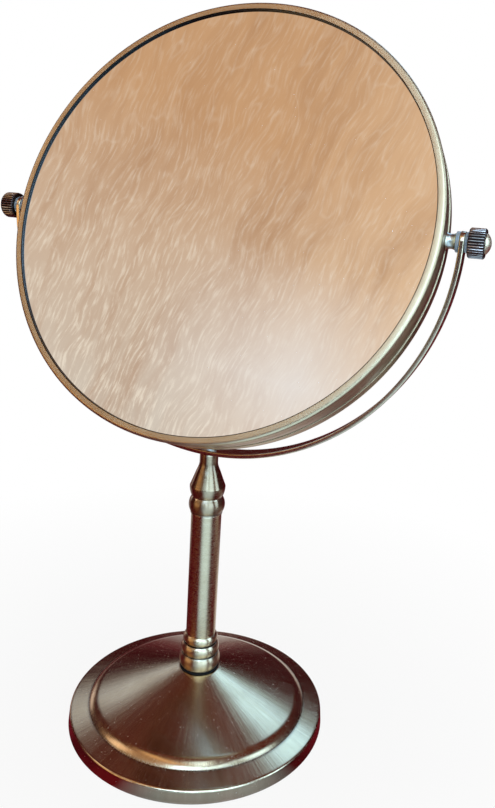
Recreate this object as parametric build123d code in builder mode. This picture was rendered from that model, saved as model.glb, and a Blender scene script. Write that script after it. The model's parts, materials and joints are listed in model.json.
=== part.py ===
from build123d import *
import os
from math import cos, radians, sin

# Pedestal vanity mirror: a round two-sided mirror head that tilts between two thumb knobs in a
# half-ring yoke, on a turned post and a weighted base. The origin is at the middle of the underside,
# +Z is up and the mirror faces -Y. Lengths are in millimetres and angles in degrees.

# Whole object
head_diameter = 205.0
head_depth = 20.5
head_tilt = 20.9
base_diameter = 130.6
half_turn = 180
sides = {"right": 1, "left": -1}

# Fits and cuts
cut_overrun = 2.0
running_clearance = 0.06
thread_clearance = 0.05
slip_clearance = 0.05
bolt_clearance = 0.25
rub_clearance = 0.05
tip_gap = 0.5
match_band = 0.01

# Base shell
base_sheet = 1.0
base_lift = 0.5
rim_crest_height = 6.6
rim_draft = 0.6
rim_crest_round = 1.2
rim_width = 10.1
valley_height = 9.4
valley_round = 0.8
shoulder_width = 5.2
shoulder_height = 12.8
hub_radius = 10.2
hub_height = 27.0
hub_round = 0.6

# Base weight and pad
pad_thickness = 2.0
weight_edge_gap = 1.5
weight_flange_thickness = 3.0
weight_disc_inset = 4.0
weight_disc_thickness = 6.0
weight_hub_inset = 1.4
weight_hub_round = 3.0
nut_pocket_radius = 9.5
nut_pocket_depth = 7.0

# Tie rod, its nut and washer
rod_radius = 3.0
rod_end_drop = 0.5
rod_finial_depth = 9.0
rod_chamfer = 0.5
nut_sides = 6
nut_across_flats = 10.0
nut_thickness = 5.0
nut_chamfer = 0.4
base_washer_radius = 6.0
base_washer_thickness = 1.2

# Post
gasket_radius = 9.9
gasket_thickness = 1.0
collar_ring_heights = [7.3, 5.8, 4.9]
collar_ring_rises = [2.9, 2.25, 1.25]
collar_groove_depth = 1.1
tube_radius = 7.5
tube_wall = 1.0
tube_length = 66.0
spigot_length = 6.0
bead_lip_rise = 0.4
bead_lip_height = 0.9
bead_rise = 1.4
bead_crown_height = 4.5
bead_height = 8.7

# Finial
finial_height = 22.05
finial_ridge_rise = 1.25
finial_ridge_height = 5.4
finial_bowl_bulge = 0.35
finial_waist_depth = 1.1
finial_waist_height = 11.6
finial_neck_radius = 4.5
finial_neck_height = 17.6

# Yoke
yoke_gap = 5.6
strap_thickness = 2.2
strap_width = 9.0
strap_round = 0.8
spot_face_margin = 0.4

# Yoke screw
screw_radius = 2.0
screw_head_radius = 3.6
screw_head_height = 2.0
screw_head_round = 0.9
screw_depth = 8.5
screw_slot_width = 0.9
screw_slot_length = 4.2
screw_slot_depth = 1.1

# Mirror head
bezel_sheet = 0.7
bezel_width = 3.8
bezel_round = 1.5
glass_thickness = 2.0
glass_recess = 1.1
glass_gap = 1.2
glass_edge_gap = 0.15
glass_face_gap = 0.05
spacer_width = 4.0
band_half_width = 2.8
band_step = 0.3
band_wall = 1.2
flange_gap = 0.85
seam_gap = 0.25

# Pivots
stud_radius = 2.0
boss_radius = 3.6
boss_waist_radius = 3.05
boss_foot_gap = 0.15
rivet_radius = 2.5
washer_radius = 4.3
inner_washer_thickness = 1.5
outer_washer_thickness = 1.25

# Knobs
knob_radius = 6.2
knob_length = 6.8
knob_chamfer = 0.5
knurl_count = 32
knurl_width = 0.8
knurl_turn = 45
cap_radius = 4.3
cap_rise = 2.2
cap_plug_radius = 3.2
cap_plug_length = 1.2

# Places up the post, worked out from the pieces that stand on each other
base_radius = base_diameter / 2
head_radius = head_diameter / 2
collar_foot = hub_height + gasket_thickness
tube_foot = collar_foot + sum(collar_ring_heights)
tube_top = tube_foot + tube_length
finial_foot = tube_top + bead_height
yoke_inner_radius = head_radius + yoke_gap
yoke_outer_radius = yoke_inner_radius + strap_thickness
strap_middle = yoke_inner_radius + strap_thickness / 2
yoke_foot = finial_foot + finial_height
yoke_seat = yoke_foot + strap_thickness
pivot_height = yoke_foot + yoke_outer_radius
rod_bore = rod_radius + bolt_clearance
spigot_radius = tube_radius - tube_wall - slip_clearance
collar_ring_radii = [tube_radius + rise for rise in collar_ring_rises]
bead_lip_radius = tube_radius + bead_lip_rise
bead_radius = tube_radius + bead_rise
groove_radius = tube_radius
finial_ridge_radius = tube_radius + finial_ridge_rise
finial_waist_radius = tube_radius - finial_waist_depth

# Places in the base
valley_radius = base_radius - rim_width
shoulder_radius = valley_radius - shoulder_width
weight_radius = base_radius - base_sheet - weight_edge_gap
weight_flange_top = pad_thickness + weight_flange_thickness
weight_disc_top = weight_flange_top + weight_disc_thickness
weight_hub_top = hub_height - base_sheet
nut_pocket_top = pad_thickness + nut_pocket_depth
nut_top = nut_pocket_top - base_washer_thickness
nut_foot = nut_top - nut_thickness
rod_foot = nut_foot - rod_end_drop
rod_top = finial_foot + rod_finial_depth

# Places through the head, measured forward from the tilt axis
half_depth = head_depth / 2
glass_face = half_depth - glass_recess
glass_back = glass_face - glass_thickness
magnifier_sag = 2 * glass_back - glass_gap
bezel_inner_radius = head_radius - bezel_width
bezel_crown = half_depth - bezel_round
bezel_foot = band_half_width + seam_gap
band_radius = head_radius - band_step
band_inner_radius = band_radius - band_wall
band_middle_radius = band_radius - band_wall / 2
flange_radius = head_radius - bezel_sheet - slip_clearance
flange_end = bezel_crown - flange_gap
glass_radius = band_inner_radius - glass_edge_gap
spacer_inner_radius = glass_radius - spacer_width

# Places outward along the tilt axis
boss_end = yoke_inner_radius - rub_clearance - inner_washer_thickness
boss_foot = head_radius + boss_foot_gap
boss_middle = (boss_foot + boss_end) / 2
boss_neck_radius = band_half_width - seam_gap
outer_washer_face = yoke_outer_radius + rub_clearance
knob_face = outer_washer_face + outer_washer_thickness + rub_clearance
knob_end = knob_face + knob_length
cap_seat = knob_end - cap_plug_length
cap_tip = knob_end + cap_rise
stud_end = cap_seat - tip_gap
stud_bore = stud_radius + slip_clearance
rivet_bore = rivet_radius + slip_clearance

# Planes and axes of the tilted head and of its pivots
pivot = Vector(0, 0, pivot_height)
head_forward = Vector(0, -cos(radians(head_tilt)), sin(radians(head_tilt)))
head_up = Vector(0, sin(radians(head_tilt)), cos(radians(head_tilt)))
head_plane = Plane(origin=pivot, x_dir=Vector(1, 0, 0), z_dir=head_forward)
head_section = Plane(origin=pivot, x_dir=Vector(1, 0, 0), z_dir=-head_up)
head_axis = Axis(pivot, head_forward)
tilt_axis = Axis(pivot, Vector(1, 0, 0))
yoke_axis = Axis(pivot, Vector(0, 1, 0))
cone_fall = Vector(shoulder_radius - hub_radius, shoulder_height - hub_height)


def outward_plane(side, distance):
    """Plane square to the tilt axis, facing outward, at a distance from the middle of the head."""
    return Plane(origin=pivot + Vector(side * distance, 0, 0), x_dir=Vector(0, 0, 1), z_dir=Vector(side, 0, 0))


def pivot_section(side):
    """Plane whose x runs outward along the tilt axis and whose y is the radius about that axis."""
    return Plane(origin=pivot, x_dir=Vector(side, 0, 0), z_dir=Vector(0, -side, 0))


def rings_at(height):
    """Round edges that lie level at a height, the smallest first."""
    level = edges().filter_by(GeomType.CIRCLE).filter_by_position(Axis.Z, height - match_band, height + match_band)
    return level.sort_by(SortBy.RADIUS)


os.makedirs("parts", exist_ok=True)

# Base shell, pressed from sheet: a drawn wall, a sloping rim, a rounded step and a cone up to a flat hub
with BuildPart() as base_shell:
    with BuildSketch(Plane.XZ):
        with BuildLine():
            wall = Line((base_radius, base_lift), (base_radius - rim_draft, rim_crest_height))
            rim = Line(wall @ 1, (valley_radius, valley_height))
            shoulder = TangentArc((shoulder_radius, shoulder_height), rim @ 1, tangent=cone_fall)
            cone = Line(shoulder @ 0, (hub_radius, hub_height))
            Line(cone @ 1, (rod_bore, hub_height))
            offset(amount=base_sheet, side=Side.LEFT, kind=Kind.INTERSECTION)
        make_face()
    revolve(axis=Axis.Z)
    fillet(rings_at(rim_crest_height), rim_crest_round)
    fillet(rings_at(valley_height), valley_round)
    fillet(rings_at(hub_height)[-1], hub_round)
base_shell.part.label = "base_shell"
export_step(base_shell.part, "parts/base_shell.step")

# Cast weight: a flange inside the rim, a thicker disc and a hub that the tie rod pulls against the shell
with BuildPart() as base_weight:
    with BuildSketch(Plane.XY.offset(pad_thickness)):
        Circle(weight_radius)
    extrude(amount=weight_flange_thickness)
    with BuildSketch(Plane.XY.offset(weight_flange_top)):
        Circle(shoulder_radius - weight_disc_inset)
    extrude(amount=weight_disc_thickness)
    with BuildSketch(Plane.XY.offset(weight_disc_top)):
        Circle(hub_radius - weight_hub_inset)
    extrude(amount=weight_hub_top - weight_disc_top)
    fillet(rings_at(weight_disc_top)[0], weight_hub_round)
    with BuildSketch(Plane.XY.offset(pad_thickness)):
        Circle(nut_pocket_radius)
    extrude(amount=nut_pocket_depth, mode=Mode.SUBTRACT)
    with Locations(Plane.XY.offset(weight_hub_top)):
        Hole(rod_bore)
base_weight.part.label = "base_weight"
export_step(base_weight.part, "parts/base_weight.step")

# Soft pad glued under the weight, which is what stands on the table
with BuildPart() as base_pad:
    with BuildSketch(Plane.XY):
        Circle(weight_radius)
    extrude(amount=pad_thickness)
base_pad.part.label = "base_pad"
export_step(base_pad.part, "parts/base_pad.step")

# Washer and hex nut in the weight's pocket
with BuildPart() as base_washer:
    with BuildSketch(Plane.XY.offset(nut_top)):
        Circle(base_washer_radius)
        Circle(rod_bore, mode=Mode.SUBTRACT)
    extrude(amount=base_washer_thickness)
base_washer.part.label = "base_washer"
export_step(base_washer.part, "parts/base_washer.step")

with BuildPart() as base_nut:
    with BuildSketch(Plane.XY.offset(nut_foot)):
        RegularPolygon(nut_across_flats / 2, nut_sides, major_radius=False)
        Circle(rod_radius + thread_clearance, mode=Mode.SUBTRACT)
    extrude(amount=nut_thickness)
    chamfer(edges().filter_by(GeomType.CIRCLE), nut_chamfer)
base_nut.part.label = "base_nut"
export_step(base_nut.part, "parts/base_nut.step")

# Threaded rod that pulls base, collar, tube, bead and finial together
with BuildPart() as tie_rod:
    with BuildSketch(Plane.XY.offset(rod_foot)):
        Circle(rod_radius)
    extrude(amount=rod_top - rod_foot)
    chamfer(edges().filter_by(GeomType.CIRCLE), rod_chamfer)
tie_rod.part.label = "tie_rod"
export_step(tie_rod.part, "parts/tie_rod.step")

# Black gasket under the post
with BuildPart() as foot_gasket:
    with BuildSketch(Plane.XY.offset(hub_height)):
        Circle(gasket_radius)
        Circle(rod_bore, mode=Mode.SUBTRACT)
    extrude(amount=gasket_thickness)
foot_gasket.part.label = "foot_gasket"
export_step(foot_gasket.part, "parts/foot_gasket.step")

# Collar of three rounded rings that narrow upward, with a spigot inside the tube
with BuildPart() as post_collar:
    with BuildSketch(Plane.XZ):
        with BuildLine():
            ring_foot = collar_foot
            groove = rod_bore
            for ring_height, ring_radius in zip(collar_ring_heights, collar_ring_radii):
                Line((groove, ring_foot), (ring_radius - collar_groove_depth, ring_foot))
                groove = ring_radius - collar_groove_depth
                ring_top = ring_foot + ring_height
                ThreePointArc((groove, ring_foot), (ring_radius, (ring_foot + ring_top) / 2), (groove, ring_top))
                ring_foot = ring_top
            Polyline(
                (groove, ring_foot),
                (spigot_radius, ring_foot),
                (spigot_radius, ring_foot + spigot_length),
                (rod_bore, ring_foot + spigot_length),
                (rod_bore, collar_foot),
            )
        make_face()
    revolve(axis=Axis.Z)
post_collar.part.label = "post_collar"
export_step(post_collar.part, "parts/post_collar.step")

# Straight post tube
with BuildPart() as post_tube:
    with BuildSketch(Plane.XY.offset(tube_foot)):
        Circle(tube_radius)
        Circle(tube_radius - tube_wall, mode=Mode.SUBTRACT)
    extrude(amount=tube_length)
post_tube.part.label = "post_tube"
export_step(post_tube.part, "parts/post_tube.step")

# Bead on the tube's top: a narrow lip, a round crown and a spigot inside the tube
with BuildPart() as post_bead:
    with BuildSketch(Plane.XZ):
        with BuildLine():
            outline = Polyline(
                (groove_radius, finial_foot),
                (rod_bore, finial_foot),
                (rod_bore, tube_top - spigot_length),
                (spigot_radius, tube_top - spigot_length),
                (spigot_radius, tube_top),
                (bead_lip_radius, tube_top),
                (bead_lip_radius, tube_top + bead_lip_height),
            )
            ThreePointArc(outline @ 1, (bead_radius, tube_top + bead_crown_height), outline @ 0)
        make_face()
    revolve(axis=Axis.Z)
post_bead.part.label = "post_bead"
export_step(post_bead.part, "parts/post_bead.step")

# Vase-shaped finial, screwed on the tie rod from below and taking the yoke screw from above
ridge = Vector(finial_ridge_radius, finial_foot + finial_ridge_height)
waist = Vector(finial_waist_radius, finial_foot + finial_waist_height)
with BuildPart() as finial_neck:
    with BuildSketch(Plane.XZ):
        with BuildLine():
            outline = Polyline(
                (finial_neck_radius, finial_foot + finial_neck_height),
                (finial_neck_radius, yoke_foot),
                (0, yoke_foot),
                (0, finial_foot),
                (groove_radius, finial_foot),
            )
            bowl_middle = (ridge + outline @ 1) / 2 + Vector(finial_bowl_bulge, 0)
            ThreePointArc(outline @ 1, bowl_middle, ridge)
            Spline(ridge, waist, outline @ 0, tangents=[waist - ridge, Vector(0, finial_neck_height)])
        make_face()
    revolve(axis=Axis.Z)
    with Locations(Plane.XY.offset(yoke_foot)):
        Hole(screw_radius + thread_clearance, screw_depth + tip_gap)
    with Locations(Plane((0, 0, finial_foot), z_dir=(0, 0, -1))):
        Hole(rod_radius + thread_clearance, rod_finial_depth + tip_gap)
finial_neck.part.label = "finial_neck"
export_step(finial_neck.part, "parts/finial_neck.step")

# Half-ring yoke: a strap with rounded edges and ends, and flat seats for the washers and the screw head
with BuildPart() as yoke:
    with BuildSketch(Plane.XY.offset(pivot_height)):
        with Locations((strap_middle, 0)):
            RectangleRounded(strap_thickness, strap_width, strap_round)
    revolve(axis=yoke_axis, revolution_arc=half_turn)
    for side in sides.values():
        with BuildSketch(Plane.XY.offset(pivot_height)):
            with Locations((side * strap_middle, 0)):
                RectangleRounded(strap_thickness, strap_width, strap_round)
                Rectangle(strap_thickness, strap_width, align=(Align.CENTER, Align.MAX), mode=Mode.SUBTRACT)
        revolve(axis=tilt_axis, revolution_arc=half_turn)
        with BuildSketch(outward_plane(side, yoke_inner_radius - cut_overrun)):
            Circle(washer_radius + spot_face_margin)
        extrude(amount=cut_overrun, mode=Mode.SUBTRACT)
        with BuildSketch(outward_plane(side, yoke_inner_radius - cut_overrun)):
            Circle(stud_radius + running_clearance)
        extrude(amount=strap_thickness + 2 * cut_overrun, mode=Mode.SUBTRACT)
    with BuildSketch(Plane.XY.offset(yoke_seat)):
        Circle(screw_head_radius + spot_face_margin)
    extrude(amount=cut_overrun, mode=Mode.SUBTRACT)
    with BuildSketch(Plane.XY.offset(yoke_foot - cut_overrun)):
        Circle(screw_radius + bolt_clearance)
    extrude(amount=strap_thickness + 2 * cut_overrun, mode=Mode.SUBTRACT)
yoke.part.label = "yoke"
export_step(yoke.part, "parts/yoke.step")

# Round-headed screw with a cross slot, through the yoke into the finial
with BuildPart() as yoke_screw:
    with BuildSketch(Plane.XY.offset(yoke_seat)):
        Circle(screw_head_radius)
    extrude(amount=screw_head_height)
    fillet(edges().group_by(Axis.Z)[-1], screw_head_round)
    with BuildSketch(Plane.XY.offset(yoke_foot - screw_depth)):
        Circle(screw_radius)
    extrude(amount=screw_depth + strap_thickness)
    with BuildSketch(Plane.XY.offset(yoke_seat + screw_head_height - screw_slot_depth)):
        Rectangle(screw_slot_length, screw_slot_width)
        Rectangle(screw_slot_width, screw_slot_length)
    extrude(amount=screw_slot_depth + cut_overrun, mode=Mode.SUBTRACT)
yoke_screw.part.label = "yoke_screw"
export_step(yoke_screw.part, "parts/yoke_screw.step")

# Middle band of the head: a raised strip with a flange under each bezel and a riveted hole at each pivot
with BuildPart() as head_band:
    with BuildSketch(head_section):
        with BuildLine():
            Polyline(
                (band_inner_radius, flange_end),
                (flange_radius, flange_end),
                (flange_radius, band_half_width),
                (band_radius, band_half_width),
                (band_radius, -band_half_width),
                (flange_radius, -band_half_width),
                (flange_radius, -flange_end),
                (band_inner_radius, -flange_end),
                close=True,
            )
        make_face()
    revolve(axis=head_axis)
    for side in sides.values():
        with BuildSketch(pivot_section(side)):
            with BuildLine():
                Polyline(
                    (band_inner_radius - cut_overrun, 0),
                    (band_inner_radius - cut_overrun, rivet_bore),
                    (band_inner_radius, rivet_bore),
                    (band_middle_radius, stud_bore),
                    (band_radius + cut_overrun, stud_bore),
                    (band_radius + cut_overrun, 0),
                    close=True,
                )
            make_face()
        revolve(axis=tilt_axis, mode=Mode.SUBTRACT)
head_band.part.label = "head_band"
export_step(head_band.part, "parts/head_band.step")

# Bezels, rolled from sheet: the skirt goes over the band, and the front ends in a lip that holds the glass
with BuildPart() as front_bezel:
    with BuildSketch(head_section):
        with BuildLine():
            skirt = Line((head_radius, bezel_foot), (head_radius, bezel_crown))
            crown = TangentArc(skirt @ 1, (head_radius - bezel_round, half_depth), tangent=skirt % 1)
            front = Line(crown @ 1, (bezel_inner_radius, half_depth))
            Line(front @ 1, (bezel_inner_radius, glass_face + glass_face_gap))
            offset(amount=bezel_sheet, side=Side.LEFT, kind=Kind.INTERSECTION)
        make_face()
    revolve(axis=head_axis)
front_bezel.part.label = "front_bezel"
export_step(front_bezel.part, "parts/front_bezel.step")

with BuildPart() as rear_bezel:
    mirror(front_bezel.part, about=head_plane)
rear_bezel.part.label = "rear_bezel"
export_step(rear_bezel.part, "parts/rear_bezel.step")

# Flat front mirror
with BuildPart() as plane_glass:
    with BuildSketch(head_plane.offset(glass_back)):
        Circle(glass_radius)
    extrude(amount=glass_thickness)
plane_glass.part.label = "plane_glass"
export_step(plane_glass.part, "parts/plane_glass.step")

# Hollow-ground rear mirror, bent to a shallow bowl that opens backward
with BuildPart() as magnifying_glass:
    with BuildSketch(head_section):
        with BuildLine():
            inside = TangentArc((0, magnifier_sag - glass_back), (glass_radius, -glass_back), tangent=(1, 0))
            outside = TangentArc((0, magnifier_sag - glass_face), (glass_radius, -glass_face), tangent=(1, 0))
            Line(inside @ 0, outside @ 0)
            Line(inside @ 1, outside @ 1)
        make_face()
    revolve(axis=head_axis)
magnifying_glass.part.label = "magnifying_glass"
export_step(magnifying_glass.part, "parts/magnifying_glass.step")

# Ring between the two glasses, hollowed to the rear mirror's curve
with BuildPart() as glass_spacer:
    with BuildSketch(head_plane.offset(-glass_back)):
        Circle(glass_radius)
        Circle(spacer_inner_radius, mode=Mode.SUBTRACT)
    extrude(amount=2 * glass_back)
    with BuildSketch(head_section):
        with BuildLine():
            inside = TangentArc((0, magnifier_sag - glass_back), (glass_radius, -glass_back), tangent=(1, 0))
            Polyline(inside @ 1, (0, -glass_back), inside @ 0)
        make_face()
    revolve(axis=head_axis, mode=Mode.SUBTRACT)
glass_spacer.part.label = "glass_spacer"
export_step(glass_spacer.part, "parts/glass_spacer.step")

# The two pivots, alike on both sides, from the head outward
for name, side in sides.items():
    # Turned boss with its threaded stud, riveted flush in the band
    with BuildPart() as pivot_stud:
        with BuildSketch(pivot_section(side)):
            with BuildLine():
                outline = Polyline(
                    (boss_end, boss_radius),
                    (boss_end, stud_radius),
                    (stud_end, stud_radius),
                    (stud_end, 0),
                    (band_inner_radius, 0),
                    (band_inner_radius, rivet_radius),
                    (band_middle_radius, stud_radius),
                    (band_radius, stud_radius),
                    (band_radius, boss_neck_radius),
                    (boss_foot, boss_neck_radius),
                    (boss_foot, boss_radius),
                )
                ThreePointArc(outline @ 1, (boss_middle, boss_waist_radius), outline @ 0)
            make_face()
        revolve(axis=tilt_axis)
    pivot_stud.part.label = f"pivot_stud_{name}"
    export_step(pivot_stud.part, f"parts/pivot_stud_{name}.step")

    # Thin washers on both faces of the yoke
    with BuildPart() as inner_washer:
        with BuildSketch(outward_plane(side, boss_end)):
            Circle(washer_radius)
            Circle(stud_radius + running_clearance, mode=Mode.SUBTRACT)
        extrude(amount=inner_washer_thickness)
    inner_washer.part.label = f"inner_washer_{name}"
    export_step(inner_washer.part, f"parts/inner_washer_{name}.step")

    with BuildPart() as outer_washer:
        with BuildSketch(outward_plane(side, outer_washer_face)):
            Circle(washer_radius)
            Circle(stud_radius + running_clearance, mode=Mode.SUBTRACT)
        extrude(amount=outer_washer_thickness)
    outer_washer.part.label = f"outer_washer_{name}"
    export_step(outer_washer.part, f"parts/outer_washer_{name}.step")

    # Knurled thumb nut, counterbored at its end for the cap
    with BuildPart() as knob:
        with BuildSketch(outward_plane(side, knob_face)):
            Circle(knob_radius)
        extrude(amount=knob_length)
        chamfer(edges().filter_by(GeomType.CIRCLE), knob_chamfer)
        with Locations(outward_plane(side, knob_end)):
            CounterBoreHole(stud_radius + thread_clearance, cap_plug_radius + slip_clearance, cap_plug_length)
        with BuildSketch(outward_plane(side, knob_face - cut_overrun)):
            with PolarLocations(knob_radius, knurl_count):
                Rectangle(knurl_width, knurl_width, rotation=knurl_turn)
        extrude(amount=knob_length + 2 * cut_overrun, mode=Mode.SUBTRACT)
    knob.part.label = f"knob_{name}"
    export_step(knob.part, f"parts/knob_{name}.step")

    # Domed cap pushed into the knob's end
    with BuildPart() as knob_cap:
        with BuildSketch(pivot_section(side)):
            with BuildLine():
                outline = Polyline(
                    (cap_tip, 0),
                    (cap_seat, 0),
                    (cap_seat, cap_plug_radius),
                    (knob_end, cap_plug_radius),
                    (knob_end, cap_radius),
                )
                TangentArc(outline @ 0, outline @ 1, tangent=(0, 1))
            make_face()
        revolve(axis=tilt_axis)
    knob_cap.part.label = f"knob_cap_{name}"
    export_step(knob_cap.part, f"parts/knob_cap_{name}.step")
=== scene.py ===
"""Finished looks of a pedestal vanity mirror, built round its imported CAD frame. Lengths are in metres."""

import json
import math
from typing import NamedTuple

import bmesh
import bpy
from bpy.props import FloatProperty, FloatVectorProperty, IntProperty, PointerProperty
from mathutils import Matrix, Vector


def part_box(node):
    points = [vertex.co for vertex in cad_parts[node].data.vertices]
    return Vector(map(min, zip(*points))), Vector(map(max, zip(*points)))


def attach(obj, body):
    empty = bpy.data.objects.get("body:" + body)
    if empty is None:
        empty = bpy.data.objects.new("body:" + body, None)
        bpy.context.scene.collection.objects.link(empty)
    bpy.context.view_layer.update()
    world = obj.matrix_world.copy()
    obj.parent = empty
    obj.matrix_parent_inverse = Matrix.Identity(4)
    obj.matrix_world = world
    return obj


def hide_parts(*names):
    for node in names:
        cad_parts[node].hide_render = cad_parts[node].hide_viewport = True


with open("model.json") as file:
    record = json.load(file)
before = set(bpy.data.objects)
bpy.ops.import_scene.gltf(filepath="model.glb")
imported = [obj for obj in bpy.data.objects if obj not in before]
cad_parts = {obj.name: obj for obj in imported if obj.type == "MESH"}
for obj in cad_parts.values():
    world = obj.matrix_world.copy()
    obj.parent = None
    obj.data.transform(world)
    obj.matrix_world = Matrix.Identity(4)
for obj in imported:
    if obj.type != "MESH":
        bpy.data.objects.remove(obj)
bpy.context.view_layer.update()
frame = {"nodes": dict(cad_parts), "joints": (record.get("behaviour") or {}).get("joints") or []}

bl_info = {
    "name": "Vanity Mirror",
    "version": (1, 0, 0),
    "blender": (4, 5, 0),
    "location": "3D View > Sidebar > Vanity Mirror",
    "description": "Builds the finished pieces of a tilting pedestal mirror",
    "category": "Add Mesh",
}

SIDES = {"right": 1, "left": -1}
TILT_JOINT = next(joint for joint in frame["joints"] if joint["name"] == "head_tilt")
PIVOT = Vector(TILT_JOINT["pos_m"])

# The photograph's frame, which the camera is matched to
IMAGE_WIDTH = 495
IMAGE_HEIGHT = 808

# Mesh fineness: steps round a turned piece and round the surround, and the longest steps along an outline
# and across a flat disc
WIDE_STEPS = 320
NARROW_STEPS = 128
SURROUND_STEPS = 48
OUTLINE_STEP = 0.0008
FINE_STEP = OUTLINE_STEP / 2
FLAT_STEP = 0.004

# Points in an arc, in a rounded corner and in the larger arcs of single pieces
ARC_POINTS = 14
CORNER_POINTS = 4
STRAP_EDGE_POINTS = 6
BEZEL_POINTS = 20
CROWN_POINTS = 24
BOWL_POINTS = 48
POINTS_TO_A_KNURL = 8

# Rounded corners: the least turn, the largest turn that counts, and the share of a run that is used
CORNER_TURN = math.radians(20)
CORNER_TURN_LIMIT = 2.6
CORNER_SHARE = 0.45
SHARP_ANGLE = math.radians(38)
MERGE_REACH = 1e-6

# Marks for wear: how far a bend in the outline counts, and the bend that counts in full
MARK_REACH = 0.0007
MARK_FULL_TURN = 1.1
STRAP_EDGE_MARK = 0.8

# Stains on the plating to a metre, depths of fine relief, and where the painted shade inside a bezel starts
# and is full
CLOUD_FINENESS = 55
MOTTLE_FINENESS = 320
SPECK_FINENESS = 1300
BRUSH_DEPTH = 0.00003
POLISH_DEPTH = 0.00002
MOULD_DEPTH = 0.00004
GRAIN_DEPTH = 0.0001
INSIDE_SHADE_FADE = (0.0005, 0.0002)


class SoftBox(NamedTuple):
    """A soft box that metal and glass reflect: where it stands, half its size in degrees, and its glow."""

    azimuth: float
    elevation: float
    half_width: float
    half_height: float
    fade: float
    glow: tuple = ()


WARM_BOARD = SoftBox(-29.5, 42.2, 18.5, 19.5, 0.04)
# Painted glare: a pale patch over part of the warm board, for light falling on it.
BOARD_GLARE = SoftBox(-18, 32, 14, 11, 1.0, (0.88, 0.85, 0.83))
SOFT_BOXES = (
    SoftBox(60, 27, 42, 31, 0.2, (2.4, 3.8, 5.2)),
    SoftBox(75, 27, 8, 31, 0.3, (0.22, 0.10, 0.08)),
    SoftBox(34, 16, 4, 14, 0.5, (0.10, 0.05, 0.05)),
    SoftBox(9, 44, 16, 16, 0.2, (4.0, 6.4, 9.4)),
    SoftBox(-64, 38, 9, 13, 0.4, (2.2, 1.75, 1.35)),
    SoftBox(-30, 66.5, 20, 5, 0.4, (1.5, 1.0, 0.55)),
    SoftBox(36, 68, 6, 11, 0.5, (3.1, 4.6, 5.9)),
    SoftBox(168, 48, 13, 13, 0.6, (1.6, 2.9, 4.4)),
    SoftBox(-125, 31, 15, 12, 0.6, (0.95, 1.15, 1.45)),
    SoftBox(-110, 6, 12, 9, 0.6, (1.3, 1.15, 1.1)),
    SoftBox(-40, 4, 21, 16, 0.4, (1.8, 1.15, 0.55)),
)

# Plating of the bronze pieces. Lines are counted to a metre of outline, or to a turn where they run outward.
# A quarter turn of the spread draws highlights out along a turned piece's axis.
ALONG_AXIS = 0.25
# The bead and the finial take darker copies of the bronze as painted shade.
SHADE_PAINTED_COLOURS = ("shaded", "shaded_light")
PLATING = {
    "base_shell": {"lay": "radial", "lines": 520, "gloss": 0.2, "bite": 1.0, "dust": 0.6, "spread": 0.6,
                   "lacquer": 0.5, "lacquer_gloss": 0.04},
    "post_collar": {"gloss": 0.34, "bite": 0.1, "tone": 0.05, "spread": 0.8, "spread_turn": ALONG_AXIS},
    "post_tube": {"lines": 5500, "gloss": 0.28, "bite": 0.07, "spread": 0.5, "spread_turn": ALONG_AXIS},
    "post_bead": {"gloss": 0.34, "bite": 0.1, "spread": 0.9, "spread_turn": ALONG_AXIS, "colours": SHADE_PAINTED_COLOURS},
    "finial_neck": {"lines": 8500, "gloss": 0.3, "bite": 0.1, "spread": 0.8, "spread_turn": ALONG_AXIS,
                    "colours": SHADE_PAINTED_COLOURS},
    "yoke": {"lines": 1500, "gloss": 0.28, "bite": 0.05},
    "bezel": {"lines": 1200, "gloss": 0.38, "bite": 0.03, "tone": 0.1, "lacquer": 0.15},
    "head_band": {"lines": 1200, "gloss": 0.34, "bite": 0.03, "tone": -0.05},
    "pivot_stud": {"gloss": 0.26, "bite": 0.1, "colours": ("stud", "stud_light")},
}


# Settings

def length(name, default, description):
    """A size in metres."""
    return FloatProperty(name=name, description=description, default=default, unit="LENGTH", precision=5)


def angle(name, degrees, description):
    """An angle, written in degrees."""
    return FloatProperty(name=name, description=description, default=math.radians(degrees), subtype="ANGLE")


def share(name, default, description):
    """A number from 0 to 1."""
    return FloatProperty(name=name, description=description, default=default, min=0, max=1, subtype="FACTOR")


def number(name, default, description):
    """A number without a unit."""
    return FloatProperty(name=name, description=description, default=default)


def numbers(name, default, description, unit="NONE"):
    """Numbers that belong together."""
    return FloatVectorProperty(
        name=name, description=description, default=default, size=len(default), unit=unit, precision=5)


def lengths(name, default, description):
    """Sizes in metres that belong together."""
    return numbers(name, default, description, "LENGTH")


def angles(name, degrees, description):
    """Angles that belong together, written in degrees."""
    return numbers(name, [math.radians(turn) for turn in degrees], description, "ROTATION")


def colour(name, default, description):
    """A linear colour."""
    return FloatVectorProperty(name=name, description=description, default=default, size=3, subtype="COLOR")


class BaseSizes(bpy.types.PropertyGroup):
    """Sizes of the pressed base and what lies under and on it."""

    radius: length("Radius", 0.0653, "Outer radius at the table")
    lift: length("Lift", 0.0005, "Height of the wall's foot above the table")
    draft: length("Draft", 0.0006, "How far the wall leans in up to the crest")
    crest_height: length("Crest height", 0.0066, "Height of the rim's outer crest")
    crest_round: length("Crest round", 0.0012, "Rounding of the crest")
    rim_width: length("Rim width", 0.0101, "Width of the sloping rim")
    valley_height: length("Valley height", 0.0094, "Height where the rim meets the step")
    shoulder_width: length("Shoulder width", 0.0052, "Width of the rounded step")
    shoulder_height: length("Shoulder height", 0.0128, "Height where the step runs into the cone")
    hub_radius: length("Hub radius", 0.0102, "Radius of the cone's flat top")
    hub_height: length("Hub height", 0.027, "Height of the cone's flat top")
    sheet: length("Sheet", 0.001, "Thickness of the pressed sheet")
    bore: length("Bore", 0.00325, "Radius of the hole for the tie rod")
    pad_round: length("Pad round", 0.0006, "Rounding of the soft pad's edge")
    gasket_round: length("Gasket round", 0.0005, "Rounding of the gasket's edge")


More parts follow.
